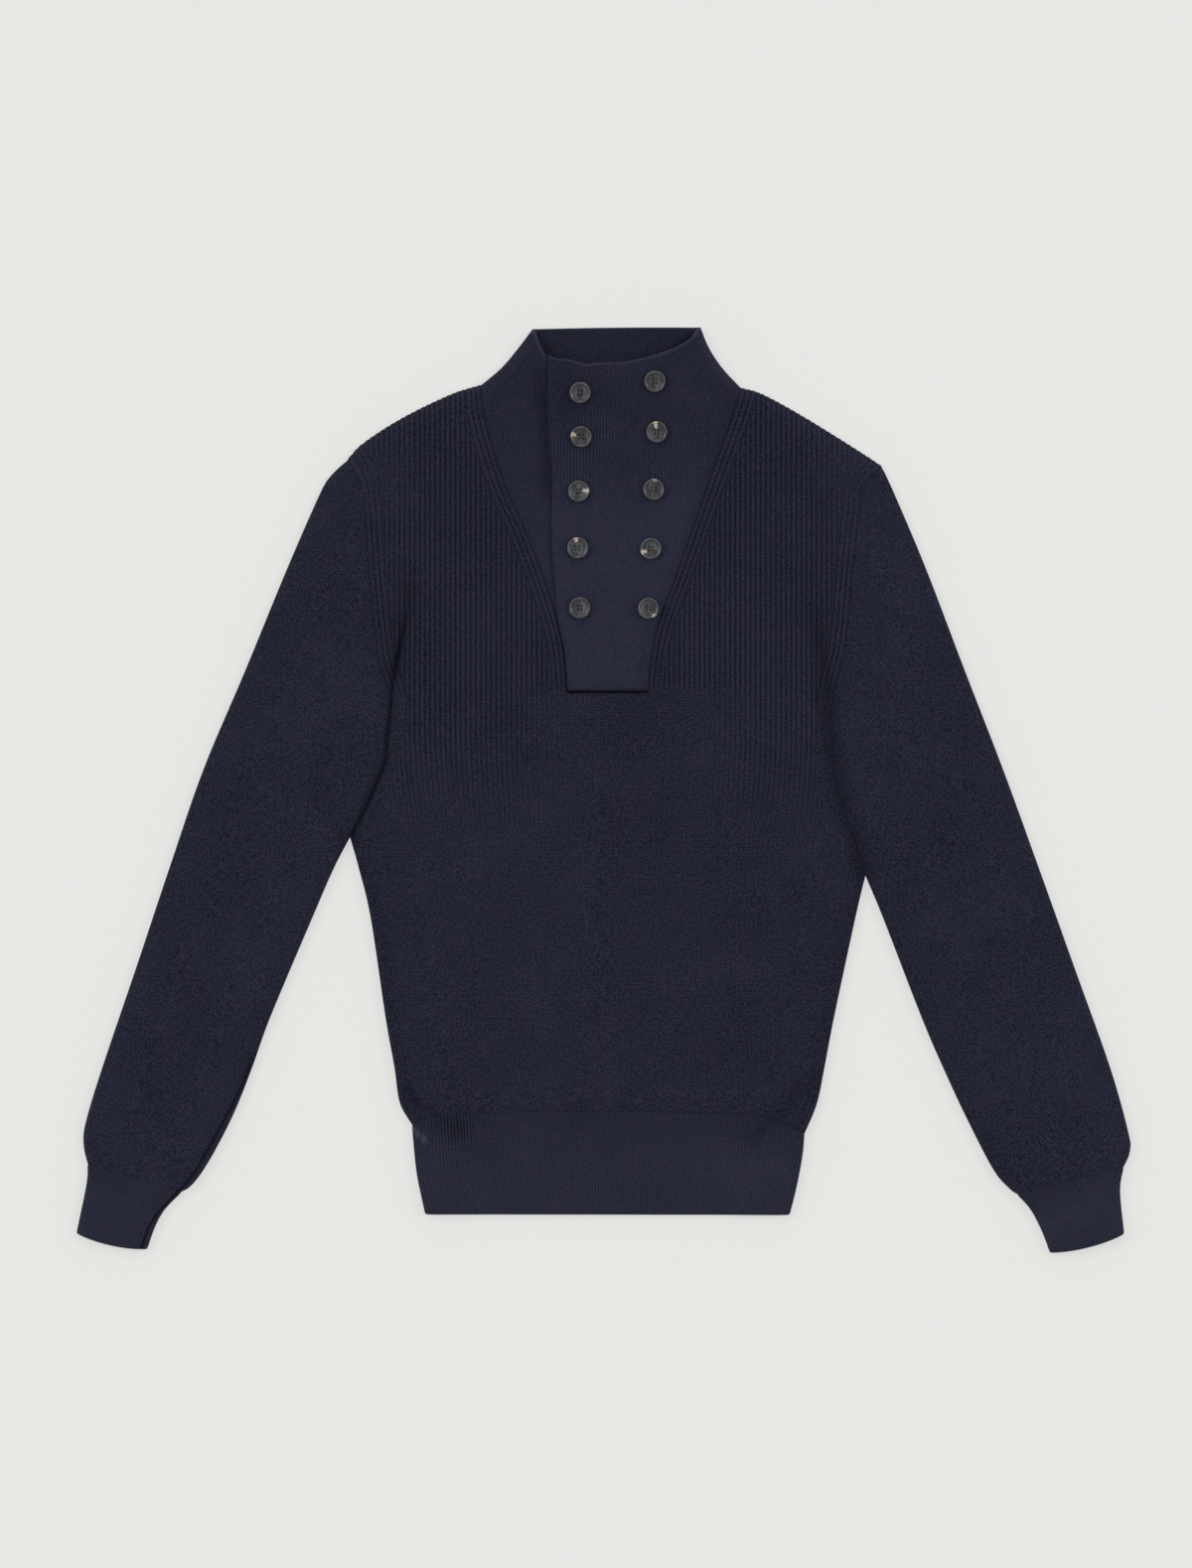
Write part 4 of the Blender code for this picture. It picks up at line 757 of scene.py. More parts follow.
class Shell:
    """Gathers the patches of one piece and makes its closed wall of them."""

    same_place: ClassVar[float] = 2e-6
    no_length: ClassVar[float] = 1e-6
    sharp_angle: ClassVar[float] = math.radians(70.0)

    def __init__(self, name: str) -> None:
        """Starts an empty piece."""
        self.name = name
        self.patches: list[Wall] = []

    def add(self, patch: Wall) -> None:
        """Adds a patch, whose edges meet those of its neighbours place by place."""
        self.patches.append(patch)

    def grids(self, mesh: bmesh.types.BMesh) -> None:
        """Lays one grid for each patch on its inner face and marks each place with its number.

        Args:
            mesh: the mesh that gets the grids.
        """
        mark = mesh.verts.layers.int.new("mark")
        ribbed = mesh.verts.layers.float.new("ribbed")
        # each place's painted highlight or shade, which the finish reads
        tone = mesh.verts.layers.float.new("tone")
        stitches = mesh.loops.layers.uv.new("stitches")
        inner = np.concatenate([patch.inner.reshape(-1, 3) for patch in self.patches]) * MM
        wale = np.concatenate([patch.wale.ravel() for patch in self.patches])
        course = np.concatenate([patch.course.ravel() for patch in self.patches])
        ribs = np.concatenate([patch.ribbed.ravel() for patch in self.patches])
        painted_lights = [np.broadcast_to(patch.tone, patch.wale.shape).ravel() for patch in self.patches]
        painted_lights = np.concatenate(painted_lights)
        first = 0
        for patch in self.patches:
            rows, columns = patch.outer.shape[:2]
            grid = bmesh.ops.create_grid(mesh, x_segments=columns - 1, y_segments=rows - 1, size=1.0)
            for number, vertex in enumerate(grid["verts"], start=first):
                vertex[mark] = number
                vertex[ribbed] = ribs[number]
                vertex[tone] = painted_lights[number]
                vertex.co = inner[number]
            first += rows * columns
        for face in mesh.faces:
            for loop in face.loops:
                number = loop.vert[mark]
                loop[stitches].uv = (wale[number], course[number])

    def build(self, material: bpy.types.Material) -> bpy.types.Object:
        """Makes the wall: grids for the inner face, extruded to the outer one.

        Args:
            material: the piece's finish.

        Returns:
            The finished object, at the origin.
        """
        mesh = bmesh.new()
        self.grids(mesh)
        mark = mesh.verts.layers.int["mark"]
        outer = np.concatenate([patch.outer.reshape(-1, 3) for patch in self.patches]) * MM
        bmesh.ops.remove_doubles(mesh, verts=mesh.verts, dist=self.same_place)
        bmesh.ops.dissolve_degenerate(mesh, edges=mesh.edges, dist=self.no_length)
        whole = [*mesh.faces, *mesh.edges, *mesh.verts]
        raised = bmesh.ops.extrude_face_region(mesh, geom=whole, use_keep_orig=True)
        for element in raised["geom"]:
            if isinstance(element, bmesh.types.BMVert):
                element.co = outer[element[mark]]
        bmesh.ops.recalc_face_normals(mesh, faces=mesh.faces)
        if mesh.calc_volume(signed=True) < 0.0:
            bmesh.ops.reverse_faces(mesh, faces=mesh.faces)
        data = mesh_data(mesh, self.name)
        data.shade_smooth()
        data.set_sharp_from_angle(angle=self.sharp_angle)
        data.materials.append(material)
        return placed(self.name, data)


def build_tube(
    name: str,
    places: tuple[np.ndarray, np.ndarray],
    relief: np.ndarray,
    knit: tuple[np.ndarray, np.ndarray, np.ndarray],
    tone: np.ndarray,
    material: bpy.types.Material,
) -> bpy.types.Object:
    """Makes a flattened tube, whose two layers meet along both folds.

    Args:
        name: the piece's name.
        places: x and y of its plan places, (rows, columns) each.
        relief: how far the upper layer stands out of its face.
        knit: wale, course and how ribbed the knit is at each place.
        tone: the painted highlight and shade of the upper layer.
        material: its finish.

    Returns:
        The finished object.
    """
    upper = LAY.upper(*places, relief=relief)
    lower = LAY.lower(*places)
    for face_up, face_down in zip(upper, lower):
        for column in (0, -1):
            middle = 0.5 * (face_up[:, column] + face_down[:, column])
            face_up[:, column] = middle
            face_down[:, column] = middle
    shell = Shell(name)
    shell.add(Wall(*upper, *knit, tone))
    shell.add(Wall(*lower, *knit))
    return shell.build(material)


def under_edge(side: Side, x: np.ndarray, y: np.ndarray) -> tuple[np.ndarray | float, np.ndarray | float]:
    """The groove where the under layer shows beside the left sleeve and cuff.

    Args:
        side: the side of the sleeve or cuff.
        x: its plan places.
        y: its plan places.

    Returns:
        How deep it is, and the painted shade in it; nothing on the right.
    """
    if side is Side.RIGHT:
        return 0.0, 0.0
    depth = UNDER_EDGE.depth(x, y)
    return depth, depth / UNDER_EDGE.sunk


Socket = bpy.types.NodeSocket
Colour = tuple[float, float, float, float]
Input = Socket | float | Colour
# Where most of a noise's values lie
NOISE_CORE = (0.3, 0.7)


class NodeSheet:
    """Adds shader nodes to a material and joins them up."""

    def __init__(self, name: str) -> None:
        """Starts a material with its shader.

        Args:
            name: the material's name.
        """
        self.material = bpy.data.materials.new(name)
        self.material.use_nodes = True
        self.tree = self.material.node_tree
        self.shader = self.tree.nodes["Principled BSDF"]

    def put(self, socket: Socket, value: Input) -> None:
        """Links an output to a socket, or sets the socket's own value.

        Args:
            socket: the input that gets it.
            value: the output, number or colour.
        """
        if isinstance(value, bpy.types.NodeSocket):
            self.tree.links.new(value, socket)
        else:
            socket.default_value = value

    def finish(self, colour: Socket | None = None, **values: float | Colour) -> bpy.types.Material:
        """Sets the shader's own values.

        Args:
            colour: what the base colour is linked to, or None.
            values: the shader's sockets in lower case, with their numbers or colours.

        Returns:
            The material.
        """
        if colour is not None:
            self.put(self.shader.inputs["Base Color"], colour)
        names = {socket.name.lower().replace(" ", "_"): socket for socket in self.shader.inputs}
        for name, value in values.items():
            names[name].default_value = value
        return self.material

    def math(self, operation: str, *values: Input) -> Socket:
        """Works out a number.

        Args:
            operation: the Math node's operation.
            values: its inputs.

        Returns:
            The node's output.
        """
        node = self.tree.nodes.new("ShaderNodeMath")
        node.operation = operation
        for socket, value in zip(node.inputs, values):
            self.put(socket, value)
        return node.outputs[0]

    def attribute(self, name: str) -> Socket:
        """Reads a number that the mesh stores.

        Args:
            name: the attribute's name.

        Returns:
            The number.
        """
        node = self.tree.nodes.new("ShaderNodeAttribute")
        node.attribute_name = name
        return node.outputs["Fac"]

    def uv(self, name: str) -> tuple[Socket, Socket]:
        """Reads a UV map.

        Args:
            name: the map's name.

        Returns:
            Both of its coordinates.
        """
        node = self.tree.nodes.new("ShaderNodeUVMap")
        node.uv_map = name
        split = self.tree.nodes.new("ShaderNodeSeparateXYZ")
        self.tree.links.new(node.outputs["UV"], split.inputs[0])
        return split.outputs["X"], split.outputs["Y"]

    def noise(
        self, scale: float, detail: float = 2.0, stretch: tuple[float, float, float] = (1.0, 1.0, 1.0)
    ) -> Socket:
        """Makes noise on the object's own coordinates.

        Args:
            scale: how fine it is, per metre.
            detail: how many finer layers it has.
            stretch: how much finer it is along each axis.

        Returns:
            The noise, from 0 to 1.
        """
        place = self.tree.nodes.new("ShaderNodeTexCoord")
        mapping = self.tree.nodes.new("ShaderNodeMapping")
        mapping.inputs["Scale"].default_value = stretch
        node = self.tree.nodes.new("ShaderNodeTexNoise")
        node.inputs["Scale"].default_value = scale
        node.inputs["Detail"].default_value = detail
        self.tree.links.new(place.outputs["Object"], mapping.inputs["Vector"])
        self.tree.links.new(mapping.outputs["Vector"], node.inputs["Vector"])
        return node.outputs["Fac"]

    def blend(self, share: Input, first: Input, second: Input) -> Socket:
        """Mixes two colours.

        Args:
            share: the share of the second.
            first: a colour.
            second: another colour.

        Returns:
            The colour between them.
        """
        node = self.tree.nodes.new("ShaderNodeMix")
        node.data_type = "RGBA"
        self.put(node.inputs["Factor"], share)
        self.put(node.inputs["A"], first)
        self.put(node.inputs["B"], second)
        return node.outputs["Result"]

    def range(self, value: Input, low: float, high: float, to_low: float, to_high: float) -> Socket:
        """Moves a value smoothly from one range to another.

        Args:
            value: the value.
            low: the start of its range.
            high: the end of its range.
            to_low: the start of the new range.
            to_high: the end of the new range.

        Returns:
            The new value.
        """
        node = self.tree.nodes.new("ShaderNodeMapRange")
        node.interpolation_type = "SMOOTHSTEP"
        for socket, number in zip(node.inputs, (value, low, high, to_low, to_high)):
            self.put(socket, number)
        return node.outputs["Result"]

    def spread(self, scale: float, reach: float, detail: float = 2.0) -> Socket:
        """Noise drawn out to both sides of 0.

        Args:
            scale: how fine it is, per metre.
            reach: how far it goes up and down.
            detail: how many finer layers it has.

        Returns:
            The value.
        """
        return self.range(self.noise(scale, detail), *NOISE_CORE, -reach, reach)

    def raise_surface(self, height: Input, distance: float, strength: float = 1.0) -> None:
        """Bumps the shader's normal.

        Args:
            height: the relief.
            distance: the height that stands for 1, in metres.
            strength: how much of it shows.
        """
        node = self.tree.nodes.new("ShaderNodeBump")
        node.inputs["Strength"].default_value = strength
        node.inputs["Distance"].default_value = distance
        self.put(node.inputs["Height"], height)
        self.tree.links.new(node.outputs["Normal"], self.shader.inputs["Normal"])


# Painted shade: the colour that grooves, course dents, stitch columns, creases and seams are darkened
# towards, in place of their shadows
PAINTED_GROOVE_SHADE = (0.0022, 0.0024, 0.0062, 1.0)


@dataclass(frozen=True)
class KnitNodes:
    """The nodes of a knit that its relief and its colours share."""

    sheet: NodeSheet
    wale: Socket
    # 0 on a rib's crest and 1 in its groove; 1 on each course and 0 between; how far stitches stray
    from_crest: Socket
    loop: Socket
    wander: Socket
    # how ribbed the knit is; the finest noise
    ribbed: Socket
    fibre: Socket


@dataclass(frozen=True)
class KnitFinish:
    """Dark wool knit: ribs and stitches follow the piece's wales and courses."""

    name: str
    crest: Colour
    warm_crest: Colour
    rib_height: float
    course_height: float
    # the painted shade colour of grooves, creases and seams
    groove: Colour = PAINTED_GROOVE_SHADE
    # the colour of painted highlights, on rolled edges and pinched folds
    rim: Colour = (0.062, 0.056, 0.105, 1.0)
    slant: float = 0.16
    wander: float = 0.2
    yarn_taper: float = 0.55
    fibre_height: float = 0.12
    # painted shade: how far grooves, course dents and stitch columns go towards the groove colour, and how
    # much ribbed knit does as a whole
    groove_share: float = 0.85
    course_share: float = 0.8
    column_share: float = 0.78
    column_calm: float = 0.7
    rib_calm: float = 0.45
    rib_shade: float = 0.2
    heather: float = 0.31
    patch_shade: float = 0.03
    broad_shade: float = 0.045
    fibre_shade: float = 0.1
    # how far painted highlights go towards the rim colour, and painted shades towards the groove colour
    pale_share: float = 0.7
    dark_share: float = 0.8
    sheen: float = 0.14

    def relief(self, knit: KnitNodes) -> None:
        """Raises ribs, the yarn's loops and fibres.

        Args:
            knit: the shared nodes.
        """
        sheet = knit.sheet
        rib = sheet.math("SUBTRACT", 1.0, sheet.math("POWER", knit.from_crest, 2.0))
        taper = sheet.math("MULTIPLY_ADD", knit.from_crest, -self.yarn_taper, 1.0)
        height = sheet.math("MULTIPLY", sheet.math("MULTIPLY", knit.loop, taper), self.course_height)
        height = sheet.math("ADD", height, sheet.math("MULTIPLY", rib, self.rib_height))
        height = sheet.math("ADD", height, sheet.math("MULTIPLY", knit.fibre, self.fibre_height))
        sheet.raise_surface(height, MM)

    def hollows(self, knit: KnitNodes) -> Socket:
        """Paints shade into grooves, the dents between courses and the columns of a plain knit, and evenly
        over ribbed knit.

        Args:
            knit: the shared nodes.

        Returns:
            The share of the painted shade's colour.
        """
        sheet, ribbed = knit.sheet, knit.ribbed
        depth = sheet.range(knit.from_crest, 0.35, 0.95, 0.0, self.groove_share)
        depth = sheet.math("MULTIPLY", depth, ribbed)
        depth = sheet.math("ADD", depth, sheet.math("MULTIPLY", ribbed, self.rib_shade))
        calm = sheet.math("MULTIPLY_ADD", ribbed, -self.rib_calm, 1.0)
        dent = sheet.math("MULTIPLY", sheet.math("SUBTRACT", 1.0, knit.loop), self.course_share)
        dent = sheet.math("MULTIPLY", dent, calm)
        strayed = sheet.math("ADD", knit.wale, sheet.math("MULTIPLY", knit.wander, 0.3))
        column = sheet.math("FRACT", sheet.math("MULTIPLY", strayed, 2.0))
        column = sheet.math("ABSOLUTE", sheet.math("SUBTRACT", column, 0.5))
        column = sheet.range(column, 0.22, 0.5, 0.0, self.column_share)
        column = sheet.math("MULTIPLY", column, sheet.math("MULTIPLY_ADD", ribbed, -self.column_calm, 1.0))
        return sheet.math("MAXIMUM", sheet.math("MAXIMUM", depth, dent), column)

    def heathered(self, knit: KnitNodes, shade: Socket) -> Socket:
        """Colours the yarn, bluer and more violet by turns, and darker by the painted shade.

        Args:
            knit: the shared nodes.
            shade: the share of the painted shade's colour.

        Returns:
            The colour.
        """
        sheet = knit.sheet
        broad = sheet.spread(11.0, self.broad_shade)
        patches = sheet.math("ADD", sheet.spread(30.0, self.patch_shade, 3.0), broad)
        heather = sheet.spread(560.0, self.heather)
        heather = sheet.math("MULTIPLY", heather, sheet.math("MULTIPLY_ADD", knit.ribbed, -0.35, 1.15))
        shade = sheet.math("ADD", sheet.math("ADD", shade, patches), heather)
        fibres = sheet.range(knit.fibre, *NOISE_CORE, self.fibre_shade, -self.fibre_shade)
        shade = sheet.math("ADD", shade, fibres)
        hue = sheet.range(sheet.noise(80.0, 3.0), 0.28, 0.72, 0.0, 1.0)
        return sheet.blend(shade, sheet.blend(hue, self.crest, self.warm_crest), self.groove)

    def material(self) -> bpy.types.Material:
        """Builds the finish.

        Returns:
            The material, with its stitches on the UV map "stitches".
        """
        sheet = NodeSheet(self.name)
        wale, course = sheet.uv("stitches")
        from_middle = sheet.math("ABSOLUTE", sheet.math("SUBTRACT", sheet.math("FRACT", wale), 0.5))
        from_crest = sheet.math("MULTIPLY", from_middle, 2.0)
        wander = sheet.math("MULTIPLY", sheet.math("SUBTRACT", sheet.noise(120.0), 0.5), self.wander)
        turn = sheet.math("ADD", course, sheet.math("MULTIPLY", from_crest, self.slant))
        turn = sheet.math("ADD", turn, wander)
        loop = sheet.math("COSINE", sheet.math("MULTIPLY", turn, 2.0 * math.pi))
        loop = sheet.math("MULTIPLY_ADD", loop, 0.5, 0.5)
        fibre = sheet.noise(1500.0, 3.0)
        knit = KnitNodes(sheet, wale, from_crest, loop, wander, sheet.attribute("ribbed"), fibre)
        self.relief(knit)
        colour = self.heathered(knit, self.hollows(knit))
        # the mesh's painted highlight and shade, blended into the knit's colour
        tone = sheet.attribute("tone")
        pale = sheet.math("MULTIPLY", sheet.math("MAXIMUM", tone, 0.0), self.pale_share)
        dark = sheet.math("MULTIPLY", sheet.math("MINIMUM", tone, 0.0), -self.dark_share)
        colour = sheet.blend(pale, colour, self.rim)
        return sheet.finish(
            sheet.blend(dark, colour, self.groove),
            roughness=0.95,
            specular_ior_level=0.08,
            sheen_weight=self.sheen,
            sheen_roughness=0.45,
            sheen_tint=(0.55, 0.55, 0.75, 1.0),
        )


BODY_FINISH = KnitFinish(
    "body_knit",
    crest=(0.0272, 0.0322, 0.0595, 1.0),
    warm_crest=(0.0342, 0.0318, 0.0600, 1.0),
    rib_height=0.12,
    course_height=0.40,
    groove_share=0.52,
)
SLEEVE_FINISH = KnitFinish(
    "sleeve_knit",
    crest=(0.0285, 0.0338, 0.0620, 1.0),
    warm_crest=(0.0358, 0.0333, 0.0625, 1.0),
    rib_height=0.22,
    course_height=0.42,
)
RIB_FINISH = KnitFinish(
    "fine_rib_knit",
    crest=(0.0272, 0.0318, 0.0560, 1.0),
    warm_crest=(0.0335, 0.0312, 0.0568, 1.0),
    rib_height=0.10,
    course_height=0.16,
    groove_share=0.8,
    course_share=0.22,
    column_share=0.0,
    heather=0.2,
)
COLLAR_FINISH = KnitFinish(
    "collar_rib_knit",
    crest=(0.0240, 0.0285, 0.0530, 1.0),
    warm_crest=(0.0305, 0.0282, 0.0535, 1.0),
    rib_height=0.10,
    course_height=0.12,
    groove_share=0.5,
    course_share=0.09,
    column_share=0.0,
    rib_calm=0.0,
    rib_shade=0.14,
    heather=0.24,
)


@dataclass(frozen=True)
class HornFinish:
    """Polished dark horn with a pale streak on one side, a painted highlight on its rim and painted shade in
    the groove inside it.
    """

    name: str = "dark_horn"
    dark: Colour = (0.021, 0.022, 0.026, 1.0)
    grey: Colour = (0.075, 0.080, 0.088, 1.0)
    # painted highlight on the raised rim
    painted_rim_highlight: Colour = (0.115, 0.118, 0.125, 1.0)
    pale: Colour = (0.62, 0.50, 0.42, 1.0)

    def material(self) -> bpy.types.Material:
        """Builds the finish; the streak runs along +X of the UV map "face".

        Returns:
            The material.
        """
        sheet = NodeSheet(self.name)
        along, beside = sheet.uv("face")
        streak = sheet.attribute("streak")
        cloud = sheet.range(sheet.noise(260.0, 4.0, (1.0, 0.45, 1.0)), 0.42, 0.62, 0.0, 1.0)
        colour = sheet.blend(cloud, self.dark, self.grey)
        ragged = sheet.math("MULTIPLY", sheet.math("SUBTRACT", sheet.noise(700.0, 3.0), 0.5), 0.5)
        spread = sheet.math("DIVIDE", sheet.math("ABSOLUTE", sheet.math("ADD", beside, ragged)), along)
        near = sheet.range(spread, 0.12, 0.34, 1.0, 0.0)
        start = sheet.math("MULTIPLY_ADD", streak, -0.62, 0.86)
        begun = sheet.range(sheet.math("SUBTRACT", along, start), 0.0, 0.18, 0.0, 1.0)
        strength = sheet.math("MINIMUM", sheet.math("MULTIPLY", streak, 1.5), 0.9)
        amount = sheet.math("MULTIPLY", sheet.math("MULTIPLY", near, begun), strength)
        square = sheet.math("MULTIPLY_ADD", along, along, sheet.math("MULTIPLY", beside, beside))
        radius = sheet.math("POWER", square, 0.5)
        # painted shade in the groove inside the rim, and a painted highlight on the rim's top
        ring = sheet.math("ABSOLUTE", sheet.math("SUBTRACT", radius, 0.74))
        ring = sheet.range(ring, 0.02, 0.10, 0.75, 0.0)
        colour = sheet.blend(ring, colour, self.dark)
        rim = sheet.range(radius, 0.84, 0.90, 0.0, 0.6)
        colour = sheet.blend(rim, colour, self.painted_rim_highlight)
        rough = sheet.range(sheet.noise(900.0), *NOISE_CORE, 0.28, 0.42)
        sheet.put(sheet.shader.inputs["Roughness"], rough)
        sheet.raise_surface(sheet.noise(420.0, 3.0), MM, 0.06)
        colour = sheet.blend(amount, colour, self.pale)
        return sheet.finish(colour, specular_ior_level=0.5, coat_weight=0.25, coat_roughness=0.2)


@dataclass(frozen=True)
class ThreadFinish:
    """Matt dark sewing thread."""

    name: str = "button_thread"
    colour: Colour = (0.030, 0.031, 0.038, 1.0)

    def material(self) -> bpy.types.Material:
        """Builds the finish.

        Returns:
            The material.
        """
        sheet = NodeSheet(self.name)
        strand = sheet.noise(2400.0, 2.0, (1.0, 3.0, 1.0))
        lighter = tuple(min(1.0, 2.4 * part) for part in self.colour[:3])
        sheet.raise_surface(strand, MM, 0.3)
        return sheet.finish(sheet.blend(strand, self.colour, (*lighter, 1.0)), roughness=0.8)


class Garment:
    """What every knitted piece shares: how it takes its solid's place."""

    def declare(
        self,
        piece: bpy.types.Object,
        node: str,
        slot: str,
        flat: tuple[float, float],
        area: float | None = None,
    ) -> bpy.types.Object:
        """Hangs a piece under the root and hides the solid that it replaces.

        Args:
            piece: the finished wall.
            node: the CAD node that it replaces.
            slot: not used.
            flat: width and length of its cut, in metres; not used.
            area: the cut's area in square metres, where it isn't a rectangle; not used.

        Returns:
            The same piece.
        """
        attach(piece, "root")
        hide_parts(node)
        log.info("%s: %d faces", piece.name, len(piece.data.polygons))
        return piece


def edge_drop(count: int, from_start: Sequence[float] = (), from_end: Sequence[float] = ()) -> np.ndarray:
    """How far an outer face sinks at its ends, so that edges and seams are soft.

    Args:
        count: how many rows it has.
        from_start: how far its first rows sink, from the edge inwards.
        from_end: how far its last rows sink, from the edge inwards.

    Returns:
        One value for each row, (count,).
    """
    drop = np.zeros(count)
    drop[: len(from_start)] = from_start
    if from_end:
        drop[count - len(from_end) :] = from_end[::-1]
    return drop


# How many of the last guide rows bend into the hem's seam
HEM_GUIDES = 3.0


@dataclass
class Front(Garment):
    """The front: ribbed, with three ribs along every shaped edge and a V cut out for the placket."""

    knit: RibKnit = RibKnit(4.3, 1.87)
    band_ribs: int = 3
    row_spacing: float = 6.0
    rib_height: float = 0.95
    low_rib_height: float = 0.4
    fade_top_y: float = 70.0
    fade_end_y: float = -110.0
    plain_middle_x: float = 24.0
    plain_half_width: float = 62.0
    plain_top_y: float = 88.0
    plain_start: float = 10.0
    plain_length: float = 150.0
    plain_share: float = 0.85
    clamp_reach: float = 2.6
    band_low: float = 0.25
    band_end_y: float = 48.0
    band_fade: float = 50.0
    low_share: float = 0.42
    # painted shade along the sunk seams of the bands
    seam_tone: float = -0.3
    v_reach_length: float = 60.0
    tips: Places = ((-188.0, 262.0), (206.0, 258.0))
    tip_reach: float = 24.0
    edge_share: float = 0.55
    edge_length: float = 6.0
    narrowing: float = 0.14
    narrowing_from_y: float = 50.0
    narrowing_to_y: float = -190.0
    tip_calm: float = 0.6
    crest_reach: float = 0.4
    least_reach: float = 0.05
    reach_length: float = 40.0
    seam_off_fold: float = 1.0
    seam_sink: float = 0.7
    hem_sink: float = 0.4
    half_ribs: int = 58
    flat: tuple[float, float] = (0.455, 0.640)
    area: float = 0.215
    # How far the first rows below the placket's foot sink, and the painted shade on them
    foot_sinks: Row = (1.0, 0.6)
    painted_foot_shades: Row = (-1.2, -1.1)
    # The first rows below the V: their share of the way to the second guide row, and their depth
    top_rows: Places = ((0.0, 0.0), (0.25, 1.1), (0.5, 2.2))
    guides: tuple[tuple[float, float, float, float], ...] = (
        # left armhole, left V, right V, right armhole
        (279.0, 342.0, 339.5, 273.0),
        (275.5, 337.5, 335.0, 269.0),
        (268.0, 329.0, 326.0, 262.0),
        (247.0, 308.0, 305.0, 243.0),
        (206.0, 262.0, 260.0, 204.0),
        (160.0, 206.0, 204.0, 158.0),
        (112.0, 142.0, 142.0, 110.0),
        (66.0, V_FOOT_Y, V_FOOT_Y, 62.0),
    )
    side_guides: Places = (
        # left, right side of the body
        (66.0, 62.0), (12.0, -2.0), (-40.5, -73.0), (-78.0, -103.0), (-135.0, -150.0), (-205.0, -212.0),
        (-258.0, -262.0), (-278.0, -284.0), (-284.0, -291.5),
    )

    def plain(self, x: np.ndarray, y: np.ndarray) -> np.ndarray:
        """How plain the knit is below the foot of the V."""
        middle = bump((x - self.plain_middle_x) / self.plain_half_width)
        return middle * ease((self.plain_top_y - y) / self.plain_start)

    def ribbed(self, x: np.ndarray, y: np.ndarray) -> np.ndarray:
        """How much ribs stand out: fully on the chest, less below the V and towards the hem.

        Args:
            x: plan places.
            y: plan places.

        Returns:
            Shares from 0 to 1.
        """
        chest = ease((y - self.fade_end_y) / (self.fade_top_y - self.fade_end_y))
        tips = sum(bump(np.hypot(x - tip_x, y - tip_y) / self.tip_reach) for tip_x, tip_y in self.tips)
        return chest * (1.0 - self.plain_share * self.plain(x, y)) * (1.0 - self.tip_calm * tips)

    def column_x(self, wale: np.ndarray, y: float) -> np.ndarray:
        """Where upright ribs run: straight on the chest, drawn in towards the hem."""
        drawn = ease((self.narrowing_from_y - y) / (self.narrowing_from_y - self.narrowing_to_y))
        return wale * self.knit.pitch * (1.0 - self.narrowing * drawn)

    def reaches(self, row: RowLine, half: Side | None) -> tuple[float, float]:
        """How softly upright ribs bend into the bands at both ends of a row.

        Args:
            row: the row.
            half: the half of the front beside the V that it crosses, or None below the V.

        Returns:
            Reaches at the left and at the right; none at the foot of the V, where ribs run straight on.
        """
        if half is None:
            return self.clamp_reach, self.clamp_reach
        v_end = row.right if half is Side.LEFT else row.left
        at_v = self.clamp_reach * float(ease((v_end[1] - V_FOOT_Y) / self.v_reach_length)) + 1e-6
        return (self.clamp_reach, at_v) if half is Side.LEFT else (at_v, self.clamp_reach)

    def patch(
        self,
        rows: list[RowLine],
        wales: np.ndarray,
        band: str | None,
        sinks: np.ndarray,
        half: Side | None = None,
    ) -> Wall:
        """One patch of the front.

        Args:
            rows: its rows, from the top down.
            wales: rib numbers of its columns.
            band: "left" or "right" for the ribs along that end, or None for the upright ones.
            sinks: how far each row's outer face sinks.
            half: the half of the front beside the V, or None below the V.

        Returns:
            The patch.
        """
        width = self.band_ribs * self.knit.pitch
        x = np.empty((len(rows), len(wales)))
        y = np.empty_like(x)
        for index, row in enumerate(rows):
            if band == "left":
                at = row.left[0] + wales * self.knit.pitch
            elif band == "right":
                at = row.right[0] - width + wales * self.knit.pitch
            else:
                at = self.column_x(wales, 0.5 * (row.left[1] + row.right[1]))
                at = bent(at, (row.left[0] + width, row.right[0] - width), self.reaches(row, half))
            x[index], y[index] = at, row.y(at)
        starts = np.array([row.left[0] + width for row in rows])[:, None]
        ends = np.array([row.right[0] - width for row in rows])[:, None]
        ribbed = self.ribbed(x, y)
        height = self.low_rib_height + (self.rib_height - self.low_rib_height) * ribbed
        height = self.knit.profile(wales)[None, :] * height
        if band is None:
            off_foot = ease(np.abs(y - V_FOOT_Y) / self.reach_length)
            reach = self.crest_reach * self.knit.pitch * off_foot + self.least_reach
            height = height * ease(np.minimum(x - starts, ends - x) / reach)
        fall = self.band_low + (1.0 - self.band_low) * ease((y - self.band_end_y) / self.band_fade)
        if band is not None:
            height = height * fall
        places = np.stack((x.ravel(), y.ravel()), axis=1)
        from_fold = LAY.from_edge(places)[0].reshape(x.shape)
        height = height * (self.edge_share + (1.0 - self.edge_share) * ease(from_fold / self.edge_length))
        sink = np.broadcast_to(sinks[:, None], x.shape).copy()
        if band is not None:
            column = 0 if band == "left" else -1
            sewn = from_fold[:, column] > self.seam_off_fold
            sink[:, column] = np.maximum(sink[:, column], self.seam_sink * sewn)
        outer, inner = LAY.upper(x, y, relief=height - sink)
        wale = np.broadcast_to(wales[None, :], x.shape)
        shown = self.low_share + (1.0 - self.low_share) * ribbed
        deep = ease((y - V_FOOT_Y + self.plain_length) / self.plain_length)
        shown = shown * (1.0 - self.plain_share * self.plain(x, y) * deep)
        if band is not None:
            shown = shown * fall
